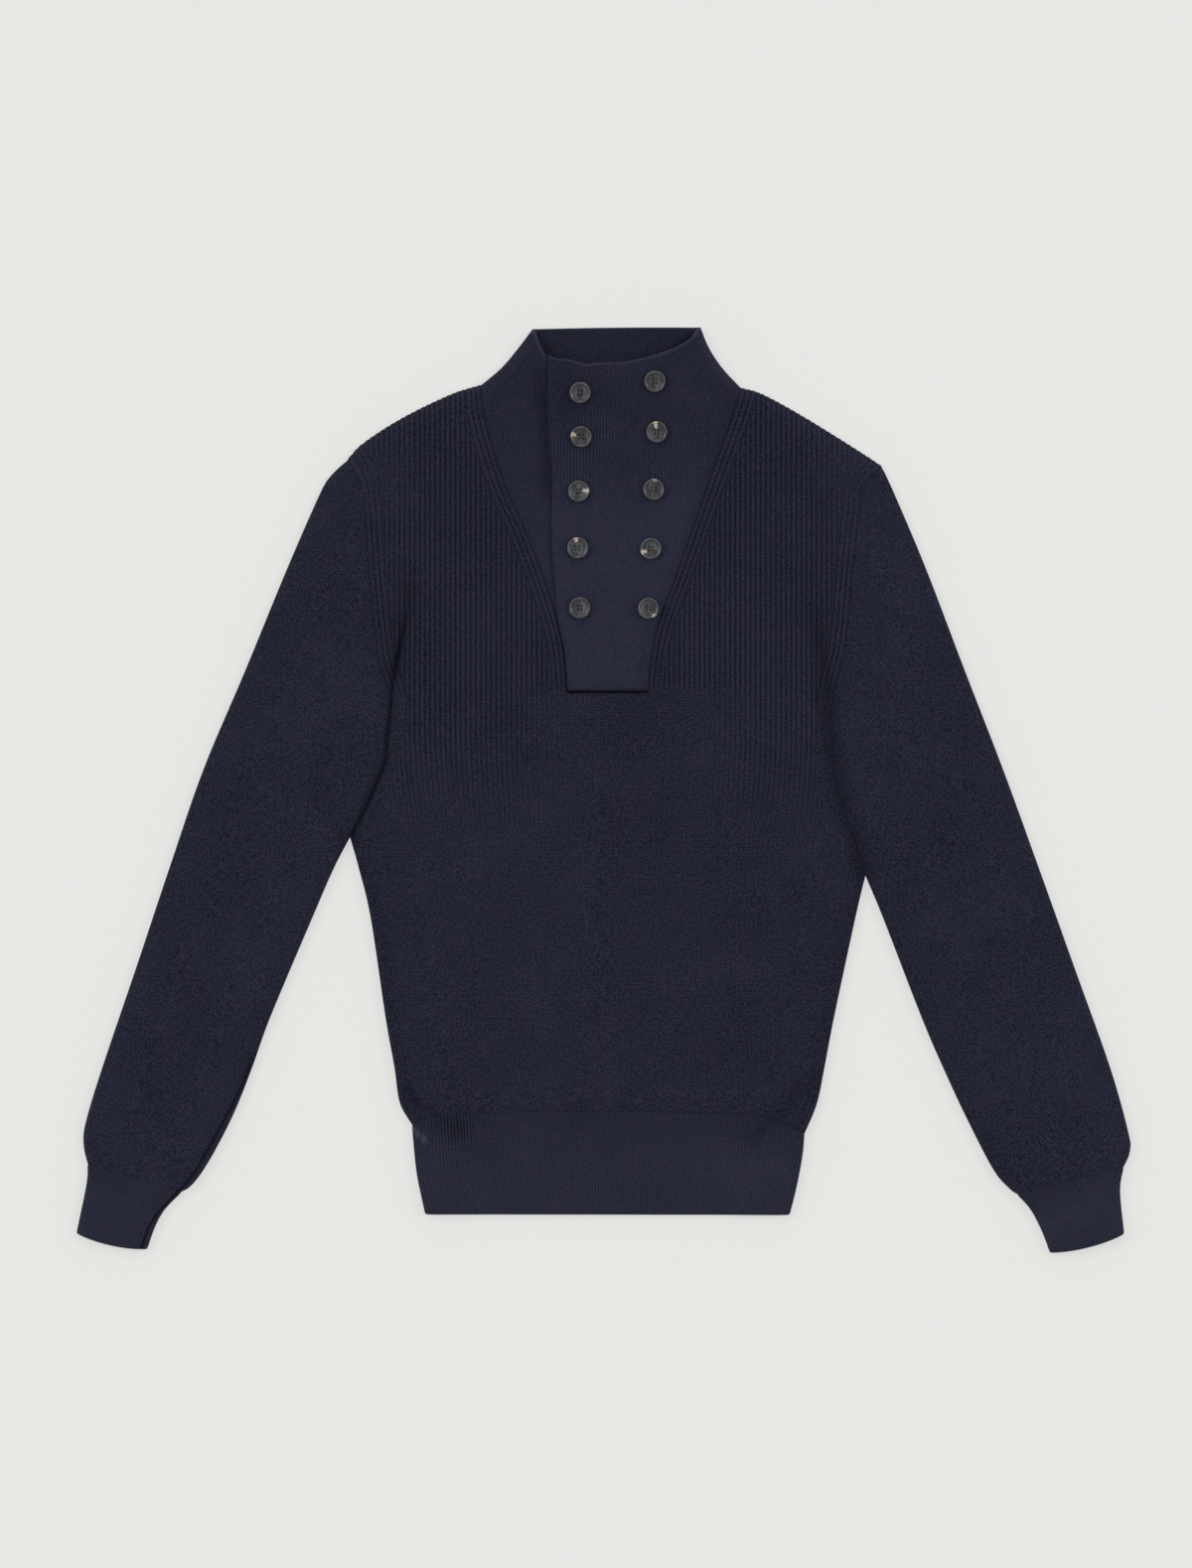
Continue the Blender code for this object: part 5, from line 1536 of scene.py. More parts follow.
        # the folds' painted light, and painted shade along sunk seams
        tone = LAY.tone(x, y) + self.seam_tone * (sink > 0.5 * self.seam_sink)
        return Wall(outer, inner, wale, -y / self.knit.course, shown, tone)

    def half_rows(self, side: Side) -> list[RowLine]:
        """Rows between an armhole and the V.

        Args:
            side: which armhole.

        Returns:
            Rows from the shoulder down to the foot of the V.
        """
        at, values = rows_between(self.guides, self.row_spacing)
        armhole = ARMHOLE[side].at_height(values[:, 0 if side is Side.LEFT else 3])
        v_side = NECK_V[side].at_height(values[:, 1 if side is Side.LEFT else 2])
        ends = (armhole, v_side) if side is Side.LEFT else (v_side, armhole)
        shares = 1.0 - at / at[-1]
        return [
            RowLine(left, right, SHOULDER[side], share, ends[0][0], ends[1][0])
            for left, right, share in zip(*ends, shares)
        ]

    def full_rows(self) -> list["RowLine | TopRow"]:
        """Rows from one side of the body to the other.

        Returns:
            Rows from the foot of the V down to the hem seam.
        """
        at, values = rows_between(self.side_guides, self.row_spacing)
        lefts, rights = (side_places(side, heights) for side, heights in zip(Side, values.T))
        bends = ease((at - (at[-1] - HEM_GUIDES)) / HEM_GUIDES)
        rows = [
            RowLine(left, right, HEM_SEAM, float(share), lefts[-1], rights[-1])
            for left, right, share in zip(lefts, rights, bends)
        ]
        top = [
            TopRow(*((1.0 - share) * ends[0] + share * ends[1] for ends in (lefts, rights)), below)
            for share, below in self.top_rows
        ]
        return [*top, *rows[1:]]

    def build(self) -> bpy.types.Object:
        """Makes the front out of its bands and its upright ribs.

        Returns:
            The piece.
        """
        shell = Shell("front_knit")
        samples = self.knit.samples
        band = self.knit.wales(0, self.band_ribs)
        foot = {side: round(V_FOOT[side] / self.knit.step) for side in Side}
        limit = self.half_ribs * samples
        for side in Side:
            rows = self.half_rows(side)
            sinks = edge_drop(len(rows))
            if side is Side.LEFT:
                first, last = -limit, foot[side] - self.band_ribs * samples
            else:
                first, last = foot[side] + self.band_ribs * samples, limit
            shell.add(self.patch(rows, band, "left", sinks))
            shell.add(self.patch(rows, np.arange(first, last + 1) / samples, None, sinks, side))
            shell.add(self.patch(rows, band, "right", sinks))
        rows = self.full_rows()
        sinks = edge_drop(len(rows), (), (self.hem_sink,))
        shell.add(self.patch(rows, band, "left", sinks))
        columns = self.knit.wales(-self.half_ribs, self.half_ribs)
        middle = self.patch(rows, columns, None, sinks)
        x = columns * self.knit.pitch
        below_foot = (x > V_FOOT[Side.LEFT]) & (x < V_FOOT[Side.RIGHT])
        # painted shade along the first rows below the placket's foot
        for row, (sunk, tone) in enumerate(zip(self.foot_sinks, self.painted_foot_shades)):
            middle.outer[row, below_foot, 2] -= sunk
            middle.tone[row, below_foot] = tone
        shell.add(middle)
        shell.add(self.patch(rows, band, "right", sinks))
        return self.declare(shell.build(BODY_FINISH.material()), "front", "knit", self.flat, self.area)


@dataclass(frozen=True)
class TopRow:
    """A row at the foot of the V: falling to both sides, and level between them."""

    left: np.ndarray
    right: np.ndarray
    below: float = 0.0

    def y(self, x: np.ndarray) -> np.ndarray:
        """Heights that fall from the V's foot to both sides.

        Args:
            x: plan places across the row.

        Returns:
            Heights at those places.
        """
        level = V_FOOT_Y - self.below
        left_x, right_x = V_FOOT[Side.LEFT], V_FOOT[Side.RIGHT]
        left_fall = (self.left[1] - level) * (x - left_x) / (self.left[0] - left_x)
        right_fall = (self.right[1] - level) * (x - right_x) / (self.right[0] - right_x)
        return level + np.where(x < left_x, left_fall, np.where(x > right_x, right_fall, 0.0))


@dataclass
class Back(Garment):
    """The back: one plain panel that rests flat."""

    knit: RibKnit = RibKnit(4.3, 1.87)
    columns: int = 150
    row_spacing: float = 6.0
    ribbed: float = 0.8
    flat: tuple[float, float] = (0.455, 0.640)
    area: float = 0.243

    def top_y(self, x: np.ndarray) -> np.ndarray:
        """Heights of the shoulders and the neckline."""
        line = np.concatenate((SHOULDER[Side.LEFT].line, BACK_NECK.line, SHOULDER[Side.RIGHT].line))
        return np.interp(x, line[:, 0], line[:, 1])

    def build(self) -> bpy.types.Object:
        """Makes the back.

        Returns:
            The piece.
        """
        front = Front()
        shoulders = [(row[0], row[3]) for row in front.guides]
        at, values = rows_between([*shoulders, *front.side_guides[1:]], self.row_spacing)
        left, right = (side_places(side, heights) for side, heights in zip(Side, values.T))
        x, y = across(left, right, np.linspace(0.0, 1.0, self.columns + 1)[None, :])
        top_bend = self.top_y(x[0]) - y[0]
        y = y + top_bend[None, :] * np.clip(1.0 - at / (len(front.guides) - 1.0), 0.0, 1.0)[:, None]
        hem_bend = HEM_SEAM.over(x[-1]) - y[-1]
        y = y + hem_bend[None, :] * ease((at - (at[-1] - HEM_GUIDES)) / HEM_GUIDES)[:, None]
        ribbed = np.full(x.shape, self.ribbed)
        shell = Shell("back_knit")
        shell.add(Wall(*LAY.lower(x, y), x / self.knit.pitch, -y / self.knit.course, ribbed))
        return self.declare(shell.build(SLEEVE_FINISH.material()), "back", "knit", self.flat, self.area)


@dataclass
class Sleeve(Garment):
    """A sleeve: a flattened tube from the armhole to the cuff, its wales along its outer edge."""

    side: Side
    wale_pitch: float = 3.2
    course: float = 1.88
    columns: int = 68
    close_from: float = 0.92
    close_columns: int = 14
    row_spacing: float = 5.0
    seam_sink: float = 0.7
    form_fades: Row = (1.0, 0.86, 0.66, 0.44, 0.22, 0.07)
    ribbed: float = 0.4
    flat: tuple[float, float] = (0.400, 0.650)
    areas: ClassVar[dict[Side, float]] = {Side.LEFT: 0.138, Side.RIGHT: 0.141}
    # Heights of the outer and the inner end of each guide ring
    guides: ClassVar[dict[Side, Places]] = {
        Side.LEFT: (
            (279.0, -40.5), (248.0, -43.5), (205.0, -48.0), (150.0, -54.0), (85.0, -60.0), (20.0, -66.0),
            (-40.0, -95.0), (-110.0, -150.0), (-180.0, -222.0), (-240.0, -280.0), (-285.0, -322.0),
            (-317.5, -341.0),
        ),
        Side.RIGHT: (
            (273.0, -73.0), (244.0, -76.0), (200.0, -80.0), (145.0, -85.0), (80.0, -91.0), (15.0, -98.0),
            (-45.0, -120.0), (-115.0, -165.0), (-185.0, -230.0), (-245.0, -287.0), (-290.0, -326.0),
            (-320.0, -343.0),
        ),
    }

    def plan(self) -> tuple[np.ndarray, np.ndarray]:
        """Lays out the rings.

        Returns:
            Their plan places' x and y, (rings, columns) each.
        """
        at, values = rows_between(self.guides[self.side], self.row_spacing)
        outer_end = SLEEVE_OUTER[self.side].at_height(values[:, 0])
        inner_end = SLEEVE_INNER[self.side].at_height(values[:, 1])
        fades = np.interp(at, range(len(self.form_fades) + 1), (*self.form_fades, 0.0))
        even = np.linspace(0.0, 1.0, self.columns + 1)
        close = np.linspace(self.close_from, 1.0, self.close_columns + 1)
        share = np.concatenate((even[even < self.close_from], close))
        seam = ARMHOLE[self.side].at_share(share)
        chord = seam[0] + (seam[-1] - seam[0]) * share[:, None]
        straight = outer_end[:, None, :] + (inner_end - outer_end)[:, None, :] * share[None, :, None]
        places = straight + fades[:, None, None] * (seam - chord)[None, :, :]
        return places[:, :, 0], places[:, :, 1]

    def build(self) -> bpy.types.Object:
        """Makes the sleeve.

        Returns:
            The piece.
        """
        x, y = self.plan()
        # dark: painted shade along the groove by the under layer
        deep, dark = under_edge(self.side, x, y)
        sink = edge_drop(len(x), (self.seam_sink,), (self.seam_sink,))[:, None] + deep
        outer_edge = SLEEVE_OUTER[self.side].places
        start, end = np.array(outer_edge[2]), np.array(outer_edge[-3])
        along = (end - start) / np.hypot(*(end - start))
        out = np.array((-along[1], along[0])) * self.side.into_body
        from_start = np.stack((x - start[0], y - start[1]), axis=2)
        wale = from_start @ out / self.wale_pitch
        course = from_start @ along / self.course
        knit = (wale, course, np.full(x.shape, self.ribbed))
        tone = LAY.tone(x, y) - dark
        name = f"sleeve_{self.side.value}"
        piece = build_tube(f"{name}_knit", (x, y), -sink, knit, tone, SLEEVE_FINISH.material())
        return self.declare(piece, name, "knit", self.flat, self.areas[self.side])


@dataclass(kw_only=True)
class RibTube(Garment):
    """What the cuffs and the hem band share."""

    knit: RibKnit
    ribs: int
    rib_height: float = 0.4
    fold_ribs: float = 1.5
    # painted shade in the rows below the seam, and how far down it reaches
    seam_tone: float
    seam_share: float
    seam_sinks: Row
    end_sinks: Row
    rows: Row

    def rib_relief(self) -> np.ndarray:
        """Stands ribs out of the upper layer, and sinks its seam and its end.

        Returns:
            Heights, (rows, columns).
        """
        wales = self.knit.wales(0, self.ribs)
        height = self.rib_height * self.knit.profile(wales)
        height = height * ease(np.minimum(wales, self.ribs - wales) / self.fold_ribs)
        return height[None, :] - edge_drop(len(self.rows), self.seam_sinks, self.end_sinks)[:, None]

    def stitches(self, length: float) -> tuple[np.ndarray, np.ndarray]:
        """Numbers stitches.

        Args:
            length: how long the tube is.

        Returns:
            Wale and course of each place, (rows, columns).
        """
        wales = self.knit.wales(0, self.ribs)
        course = np.array(self.rows)[:, None] * length / self.knit.course
        return np.broadcast_arrays(wales[None, :], course)

    def seam_shade(self) -> np.ndarray:
        """The painted shade of each row below the seam, (rows, 1)."""
        return self.seam_tone * (1.0 - ease(np.array(self.rows) / self.seam_share))[:, None]


@dataclass(kw_only=True)
class Cuff(RibTube):
    """A cuff: a ribbed tube, narrower than the sleeve."""

    side: Side
    knit: RibKnit = RibKnit(2.1, 1.6)
    ribs: int = 38
    end_drop: float = 3.5
    seam_tone: float = -0.2
    seam_share: float = 0.5
    seam_sinks: Row = (0.6,)
    end_sinks: Row = (1.0, 0.35)
    rows: Row = (
        0.0, 0.03, 0.08, 0.15, 0.25, 0.37, 0.5, 0.62, 0.73, 0.83, 0.91, 0.96, 0.98, 1.0,
    )
    ribbed: float = 0.36
    flat: tuple[float, float] = (0.160, 0.070)
    areas: ClassVar[dict[Side, float]] = {Side.LEFT: 0.0084, Side.RIGHT: 0.0089}

    def build(self) -> bpy.types.Object:
        """Makes the cuff.

        Returns:
            The piece.
        """
        rows = np.array(self.rows)
        outer_end = CUFF_OUTER[self.side].at_share(rows)
        inner_end = CUFF_INNER[self.side].at_share(rows)
        seam = inner_end[0] - outer_end[0]
        down = np.array((seam[1], -seam[0])) / np.hypot(*seam) * self.side.into_body
        share = self.knit.wales(0, self.ribs) / self.ribs
        bow = self.end_drop * rows[:, None] * (4.0 * share * (1.0 - share))[None, :]
        x, y = across(outer_end, inner_end, share[None, :])
        x, y = x + down[0] * bow, y + down[1] * bow
        # dark: painted shade along the groove by the under layer
        deep, dark = under_edge(self.side, x, y)
        knit = (*self.stitches(np.hypot(*(outer_end[-1] - outer_end[0]))), np.full(x.shape, self.ribbed))
        tone = LAY.tone(x, y) + self.seam_shade() - dark
        name = f"cuff_{self.side.value}"
        relief = self.rib_relief() - deep
        piece = build_tube(f"{name}_rib", (x, y), relief, knit, tone, RIB_FINISH.material())
        return self.declare(piece, name, "rib_knit", self.flat, self.areas[self.side])


@dataclass(kw_only=True)
class HemBand(RibTube):
    """The hem band: a ribbed tube below the body."""

    knit: RibKnit = RibKnit(2.7, 1.6)
    ribs: int = 122
    seam_tone: float = -0.22
    seam_share: float = 0.55
    seam_sinks: Row = (0.4,)
    end_sinks: Row = (1.1, 0.35)
    rows: Row = (
        0.0, 0.02, 0.06, 0.12, 0.19, 0.27, 0.36, 0.45, 0.54, 0.63, 0.72, 0.80, 0.87, 0.93, 0.97, 0.985, 1.0,
    )
    ribbed: float = 0.44
    # Where the body's gathers pull the ribs together
    gathers: tuple[float, float] = (-124.0, -286.0)
    gathers_reach: float = 14.0
    gathers_ribbed: float = 0.5
    flat: tuple[float, float] = (0.665, 0.086)

    def build(self) -> bpy.types.Object:
        """Makes the hem band.

        Returns:
            The piece.
        """
        rows = np.array(self.rows)
        share = self.knit.wales(0, self.ribs) / self.ribs
        x, y = across(*(HEM_SIDE[side].at_share(rows) for side in Side), share[None, :])
        bend = HEM_SEAM.over(x[0]) - y[0]
        y = y + bend[None, :] * (1.0 - rows)[:, None]
        left_side = HEM_SIDE[Side.LEFT].places
        from_gathers = np.hypot(x - self.gathers[0], y - self.gathers[1])
        ribbed = self.ribbed + self.gathers_ribbed * bump(from_gathers / self.gathers_reach)
        knit = (*self.stitches(left_side[0][1] - left_side[-1][1]), ribbed)
        tone = LAY.tone(x, y) + self.seam_shade()
        piece = build_tube("hem_band_rib", (x, y), self.rib_relief(), knit, tone, RIB_FINISH.material())
        return self.declare(piece, "hem_band", "rib_knit", self.flat)


Lift = Callable[[np.ndarray, np.ndarray], np.ndarray]


@dataclass
class CollarPiece(Garment):
    """What the pieces of the collar share: a rib that opens out like a fan below the neck."""

    knit: RibKnit = RibKnit(2.75, 1.7)
    fan_middle_x: float = 8.0
    neck_share: float = 0.68
    fan_foot_y: float = 285.0
    fan_top_y: float = 398.0
    rib_height: float = 0.45
    smooth_rib_height: float = 0.14
    smooth_from_y: float = 290.0
    smooth_to_y: float = 205.0
    foot_ribs_y: float = 98.0
    clamp_reach: float = 2.2
    # painted highlight on the first rows below the top edge, where it rolls over
    rim_rows: Row = (0.7, 0.55, 0.2)
    seam_sink: float = 0.6
    # painted shade along the collar's seams
    seam_tone: float = -0.22
    hidden_rib: float = 0.09
    edge_sinks: Row = (1.2, 0.4)
    foot_sinks: Row = (1.2,)
    # painted shade on the last row, at the placket's foot
    painted_foot_shades: Row = (-0.9,)
    free_sink: float = 1.2
    free_down_to_y: float = 178.0
    sink_reach: float = 2.2
    foot_ribs: float = 0.35
    ribbed_share: float = 0.9
    row_spacing: float = 5.0
    form_ends: float = 0.6
    # How far the first rows lie below the top edge, and the last but one above the foot
    top_steps: Row = (0.0, 0.7, 1.8, 3.4)
    foot_step: float = 2.5

    def column_x(self, wales: np.ndarray, y: np.ndarray | float) -> np.ndarray:
        """Where ribs run at a height: closer together at the neck."""
        fan = 1.0 - (1.0 - self.neck_share) * ease((y - self.fan_foot_y) / (self.fan_top_y - self.fan_foot_y))
        return self.fan_middle_x + (wales * self.knit.pitch - self.fan_middle_x) * fan

    def rib_fall(self, y: np.ndarray) -> np.ndarray:
        """How far ribs stand out: at the neck and at the placket's foot, and hardly between.

        Args:
            y: heights.

        Returns:
            Rib heights.
        """
        neck = ease((y - self.smooth_to_y) / (self.smooth_from_y - self.smooth_to_y))
        foot = self.foot_ribs * ease((self.foot_ribs_y - y) / (self.foot_ribs_y - V_FOOT_Y))
        return self.smooth_rib_height + (self.rib_height - self.smooth_rib_height) * np.maximum(neck, foot)

    def down_rows(self, top_y: float) -> np.ndarray:
        """Spaces rows, closer at the top edge and at the foot.

        Args:
            top_y: the height of the top edge.

        Returns:
            Shares of the way down to the V's foot.
        """
        length = top_y - V_FOOT_Y
        near = np.array(self.top_steps) / length
        count = math.ceil(length / self.row_spacing)
        below = np.linspace(near[-1], 1.0 - self.foot_step / length, count)[1:]
        return np.concatenate((near, below, (1.0,)))

    def side_end(self, side: Side, heights: np.ndarray) -> np.ndarray:
        """Ends of rows on the folded side of the collar, and on the V below it.

        Args:
            side: which side.
            heights: the rows' heights, (n,).

        Returns:
            Places, (n, 2).
        """
        on_collar = (heights >= COLLAR_SIDE[side].places[-1][1])[:, None]
        return np.where(on_collar, COLLAR_SIDE[side].at_height(heights), NECK_V[side].at_height(heights))

    def row_lines(
        self, lefts: np.ndarray, rights: np.ndarray, down: np.ndarray, top: PlanLine
    ) -> list[RowLine]:
        """Rows that bend less and less as the top edge does.

        Args:
            lefts: their left ends, (rows, 2).
            rights: their right ends, (rows, 2).
            down: their shares of the way down.
            top: the top edge.

        Returns:
            The rows.
        """
        bends = np.maximum(0.0, 1.0 - down / self.form_ends)
        return [
            RowLine(left, right, top, bend, lefts[0], rights[0])
            for left, right, bend in zip(lefts, rights, bends)
        ]

    def wall(self, rows: list[RowLine], wales: np.ndarray, lift: Lift, free_left: bool) -> Wall:
        """The wall of a collar front.

        Args:
            rows: its rows, from the top edge down.
            wales: rib numbers of its columns.
            lift: how far places lie above the body, a function of x and y.
            free_left: whether the left end is a free edge, and not a seam or fold.

        Returns:
            The patch.
        """
        x = np.empty((len(rows), len(wales)))
        y = np.empty_like(x)
        for index, row in enumerate(rows):
            guess = self.column_x(wales, 0.5 * (row.left[1] + row.right[1]))
            guess = np.clip(guess, row.left[0], row.right[0])
            at = self.column_x(wales, row.y(guess))
            at = bent(at, (row.left[0], row.right[0]), (self.clamp_reach, self.clamp_reach))
            x[index], y[index] = at, row.y(at)
        left_ends = np.array([row.left for row in rows])
        right_ends = np.array([row.right for row in rows])
        from_left, from_right = x - left_ends[:, :1], right_ends[:, :1] - x
        left_folded = left_ends[:, 1:] > COLLAR_SIDE[Side.LEFT].places[-1][1]
        right_folded = right_ends[:, 1:] > COLLAR_SIDE[Side.RIGHT].places[-1][1]
        near_end = ease(np.minimum(from_left, from_right) / (0.5 * self.knit.pitch))
        height = self.knit.profile(wales)[None, :] * self.rib_fall(y) * near_end
        left_near = 1.0 - ease(from_left / self.sink_reach)
        right_near = 1.0 - ease(from_right / self.sink_reach)
        left_sink = self.free_sink * left_near if free_left else self.seam_sink * left_near * ~left_folded
        right_sink = self.seam_sink * right_near * ~right_folded
        row_sink = edge_drop(len(rows), self.edge_sinks, self.foot_sinks)[:, None]
        sink = np.maximum(row_sink, np.maximum(left_sink, right_sink))
        outer, inner = LAY.upper(x, y, relief=height - sink, lift=lift(x, y))
        wale = np.broadcast_to(wales[None, :], x.shape)
        shown = (self.rib_fall(y) - self.hidden_rib) / (self.rib_height - self.hidden_rib)
        # where painted shade goes along the seams
        sewn_left = (left_sink > 0.0) & ~((y > self.free_down_to_y) & free_left)
        seams = left_near * sewn_left + right_near * (right_sink > 0.0)
        # painted highlight on the top rows and painted shade at the foot, with the folds' painted light and
        # the seams' painted shade
        rim = edge_drop(len(rows), self.rim_rows, self.painted_foot_shades)[:, None]
        tone = LAY.tone(x, y) + rim + self.seam_tone * seams
        return Wall(outer, inner, wale, -y / self.knit.course, self.ribbed_share * shown, tone)


@dataclass
class CollarUnder(CollarPiece):
    """The left front of the collar, which runs on below the overlap."""

    smooth_rib_height: float = 0.34
    hidden_x: float = 22.0
    top_drop: float = 3.0
    drop_length: float = 14.0
    first_rib: int = -50
    last_rib: int = 12
    flat: tuple[float, float] = (0.126, 0.306)
    area: float = 0.0263

    def top_line(self) -> PlanLine:
        """The top edge, which runs on below the overlap's.

        Returns:
            The line.
        """
        start_x = COLLAR_FRONT_TOP.places[0][0]
        return PlanLine(
            tuple(
                (x, y - self.top_drop * float(ease((x - start_x) / self.drop_length)))
                for x, y in COLLAR_FRONT_TOP.places
            )
        )

    def build(self) -> bpy.types.Object:
        """Makes the collar's left front.

        Returns:
            The piece.
        """
        top_line = self.top_line()
        top_left = np.array(COLLAR_FRONT_TOP.places[0])
        top_right = np.array((self.hidden_x, top_line.over(self.hidden_x)))
        down = self.down_rows(top_left[1])
        lefts = self.side_end(Side.LEFT, top_left[1] + (V_FOOT_Y - top_left[1]) * down)
        right_y = top_right[1] + (V_FOOT_Y - top_right[1]) * down
        rights = np.stack((np.full(len(down), self.hidden_x), right_y), axis=1)
        rows = self.row_lines(lefts, rights, down, top_line)
        shell = Shell("collar_under_rib")
        wales = self.knit.wales(self.first_rib, self.last_rib)
        shell.add(self.wall(rows, wales, lambda x, y: np.zeros_like(x), free_left=False))
        piece = shell.build(COLLAR_FINISH.material())
        return self.declare(piece, "collar_under", "rib_knit", self.flat, self.area)


@dataclass
class CollarOver(CollarPiece):
    """The right front of the collar, whose overlap carries both rows of buttons."""

    clearance: float = 0.6
    comes_down: float = 10.0
    dimple: float = 0.5
    dimple_reach: float = 8.5
    first_rib: int = -32
    last_rib: int = 54
    flat: tuple[float, float] = (0.168, 0.308)
    area: float = 0.0354

    def lift(self, x: np.ndarray, y: np.ndarray) -> np.ndarray:
        """How far the overlap lies above the body: on the underlap, and down along the right V.

        Args:
            x: plan places, (rows, columns).
            y: plan places in the same shape.

        Returns:
            Heights in the same shape, less below each button.
        """
        edge = self.side_end(Side.RIGHT, np.maximum(y, V_FOOT_Y).ravel())[:, 0].reshape(x.shape)
        lift = (LAY.wall + self.clearance) * ease((edge - x) / self.comes_down)
        for button in Buttons.middles.values():
            away = np.hypot(x - button[0], y - button[1])
            lift = lift - self.dimple * bump(away / self.dimple_reach)
        return lift

    def left_end(self, heights: np.ndarray) -> np.ndarray:
        """Ends of rows down the overlap's free edge, then down the left V that it meets.

        Args:
            heights: the rows' heights, (n,).

        Returns:
            Places, (n, 2).
        """
        free_x = OVERLAP_EDGE.at_height(heights)[:, 0]
        v_x = NECK_V[Side.LEFT].at_height(heights)[:, 0]
        return np.stack((np.maximum(free_x, v_x), heights), axis=1)

    def build(self) -> bpy.types.Object:
        """Makes the collar's right front with its overlap.

        Returns:
            The piece.
        """
        top_left = np.array(OVERLAP_EDGE.places[0])
        top_right = np.array(COLLAR_SIDE[Side.RIGHT].places[0])
        down = self.down_rows(top_right[1])
        rights = self.side_end(Side.RIGHT, top_right[1] + (V_FOOT_Y - top_right[1]) * down)
        lefts = self.left_end(top_left[1] + (V_FOOT_Y - top_left[1]) * down)
        rows = self.row_lines(lefts, rights, down, COLLAR_FRONT_TOP)
        shell = Shell("collar_over_rib")
        wales = self.knit.wales(self.first_rib, self.last_rib)
        shell.add(self.wall(rows, wales, self.lift, free_left=True))
        piece = shell.build(COLLAR_FINISH.material())
        return self.declare(piece, "collar_over", "rib_knit", self.flat, self.area)


@dataclass
class CollarBack(CollarPiece):
    """The back of the collar, whose ribbed inside shows in the neck's mouth."""

    top_rise: float = 0.7
    rows: Row = (0.0, 0.012, 0.03, 0.06, 0.12, 0.2, 0.3, 0.4, 0.5, 0.6, 0.7, 0.8, 0.9, 1.0)
    ribs: int = 74
    inside_rib_height: float = 0.3
    end_share: float = 0.06
    # painted highlight on the top rim's rows, and painted shade on the inside further down the neck's mouth
    rim_share: float = 0.02
    rim_tone: float = 0.3
    mouth_tone: float = -0.26
    ribbed: float = 0.75
    flat: tuple[float, float] = (0.225, 0.058)
    area: float = 0.0107

    def build(self) -> bpy.types.Object:
        """Makes the collar's back.

        Returns:
            The piece.
        """
        rows = np.array(self.rows)
        wales = self.knit.wales(0, self.ribs)
        share = (wales / wales[-1])[None, :]
        x, y = across(*(COLLAR_SIDE[side].at_share(rows) for side in Side), share)
        y = y + self.top_rise * (1.0 - rows)[:, None] * 4.0 * share * (1.0 - share)
        y = y + (BACK_NECK.over(x[-1]) - y[-1])[None, :] * rows[:, None] ** 3
        near_end = ease(np.minimum(share, 1.0 - share) / self.end_share)
        height = self.inside_rib_height * self.knit.profile(wales)[None, :] * near_end
        outer, inner = LAY.lower(x, y, relief=height - edge_drop(len(rows), self.edge_sinks)[:, None])
        wale = np.broadcast_to(wales[None, :], x.shape)
        # painted highlight on the top rim, painted shade inside the mouth
        tone = np.where(rows < self.rim_share, self.rim_tone, self.mouth_tone)[:, None]
        shell = Shell("collar_back_rib")
        shell.add(Wall(outer, inner, wale, -y / self.knit.course, np.full(x.shape, self.ribbed), tone))
        piece = shell.build(COLLAR_FINISH.material())
        return self.declare(piece, "collar_back", "rib_knit", self.flat, self.area)


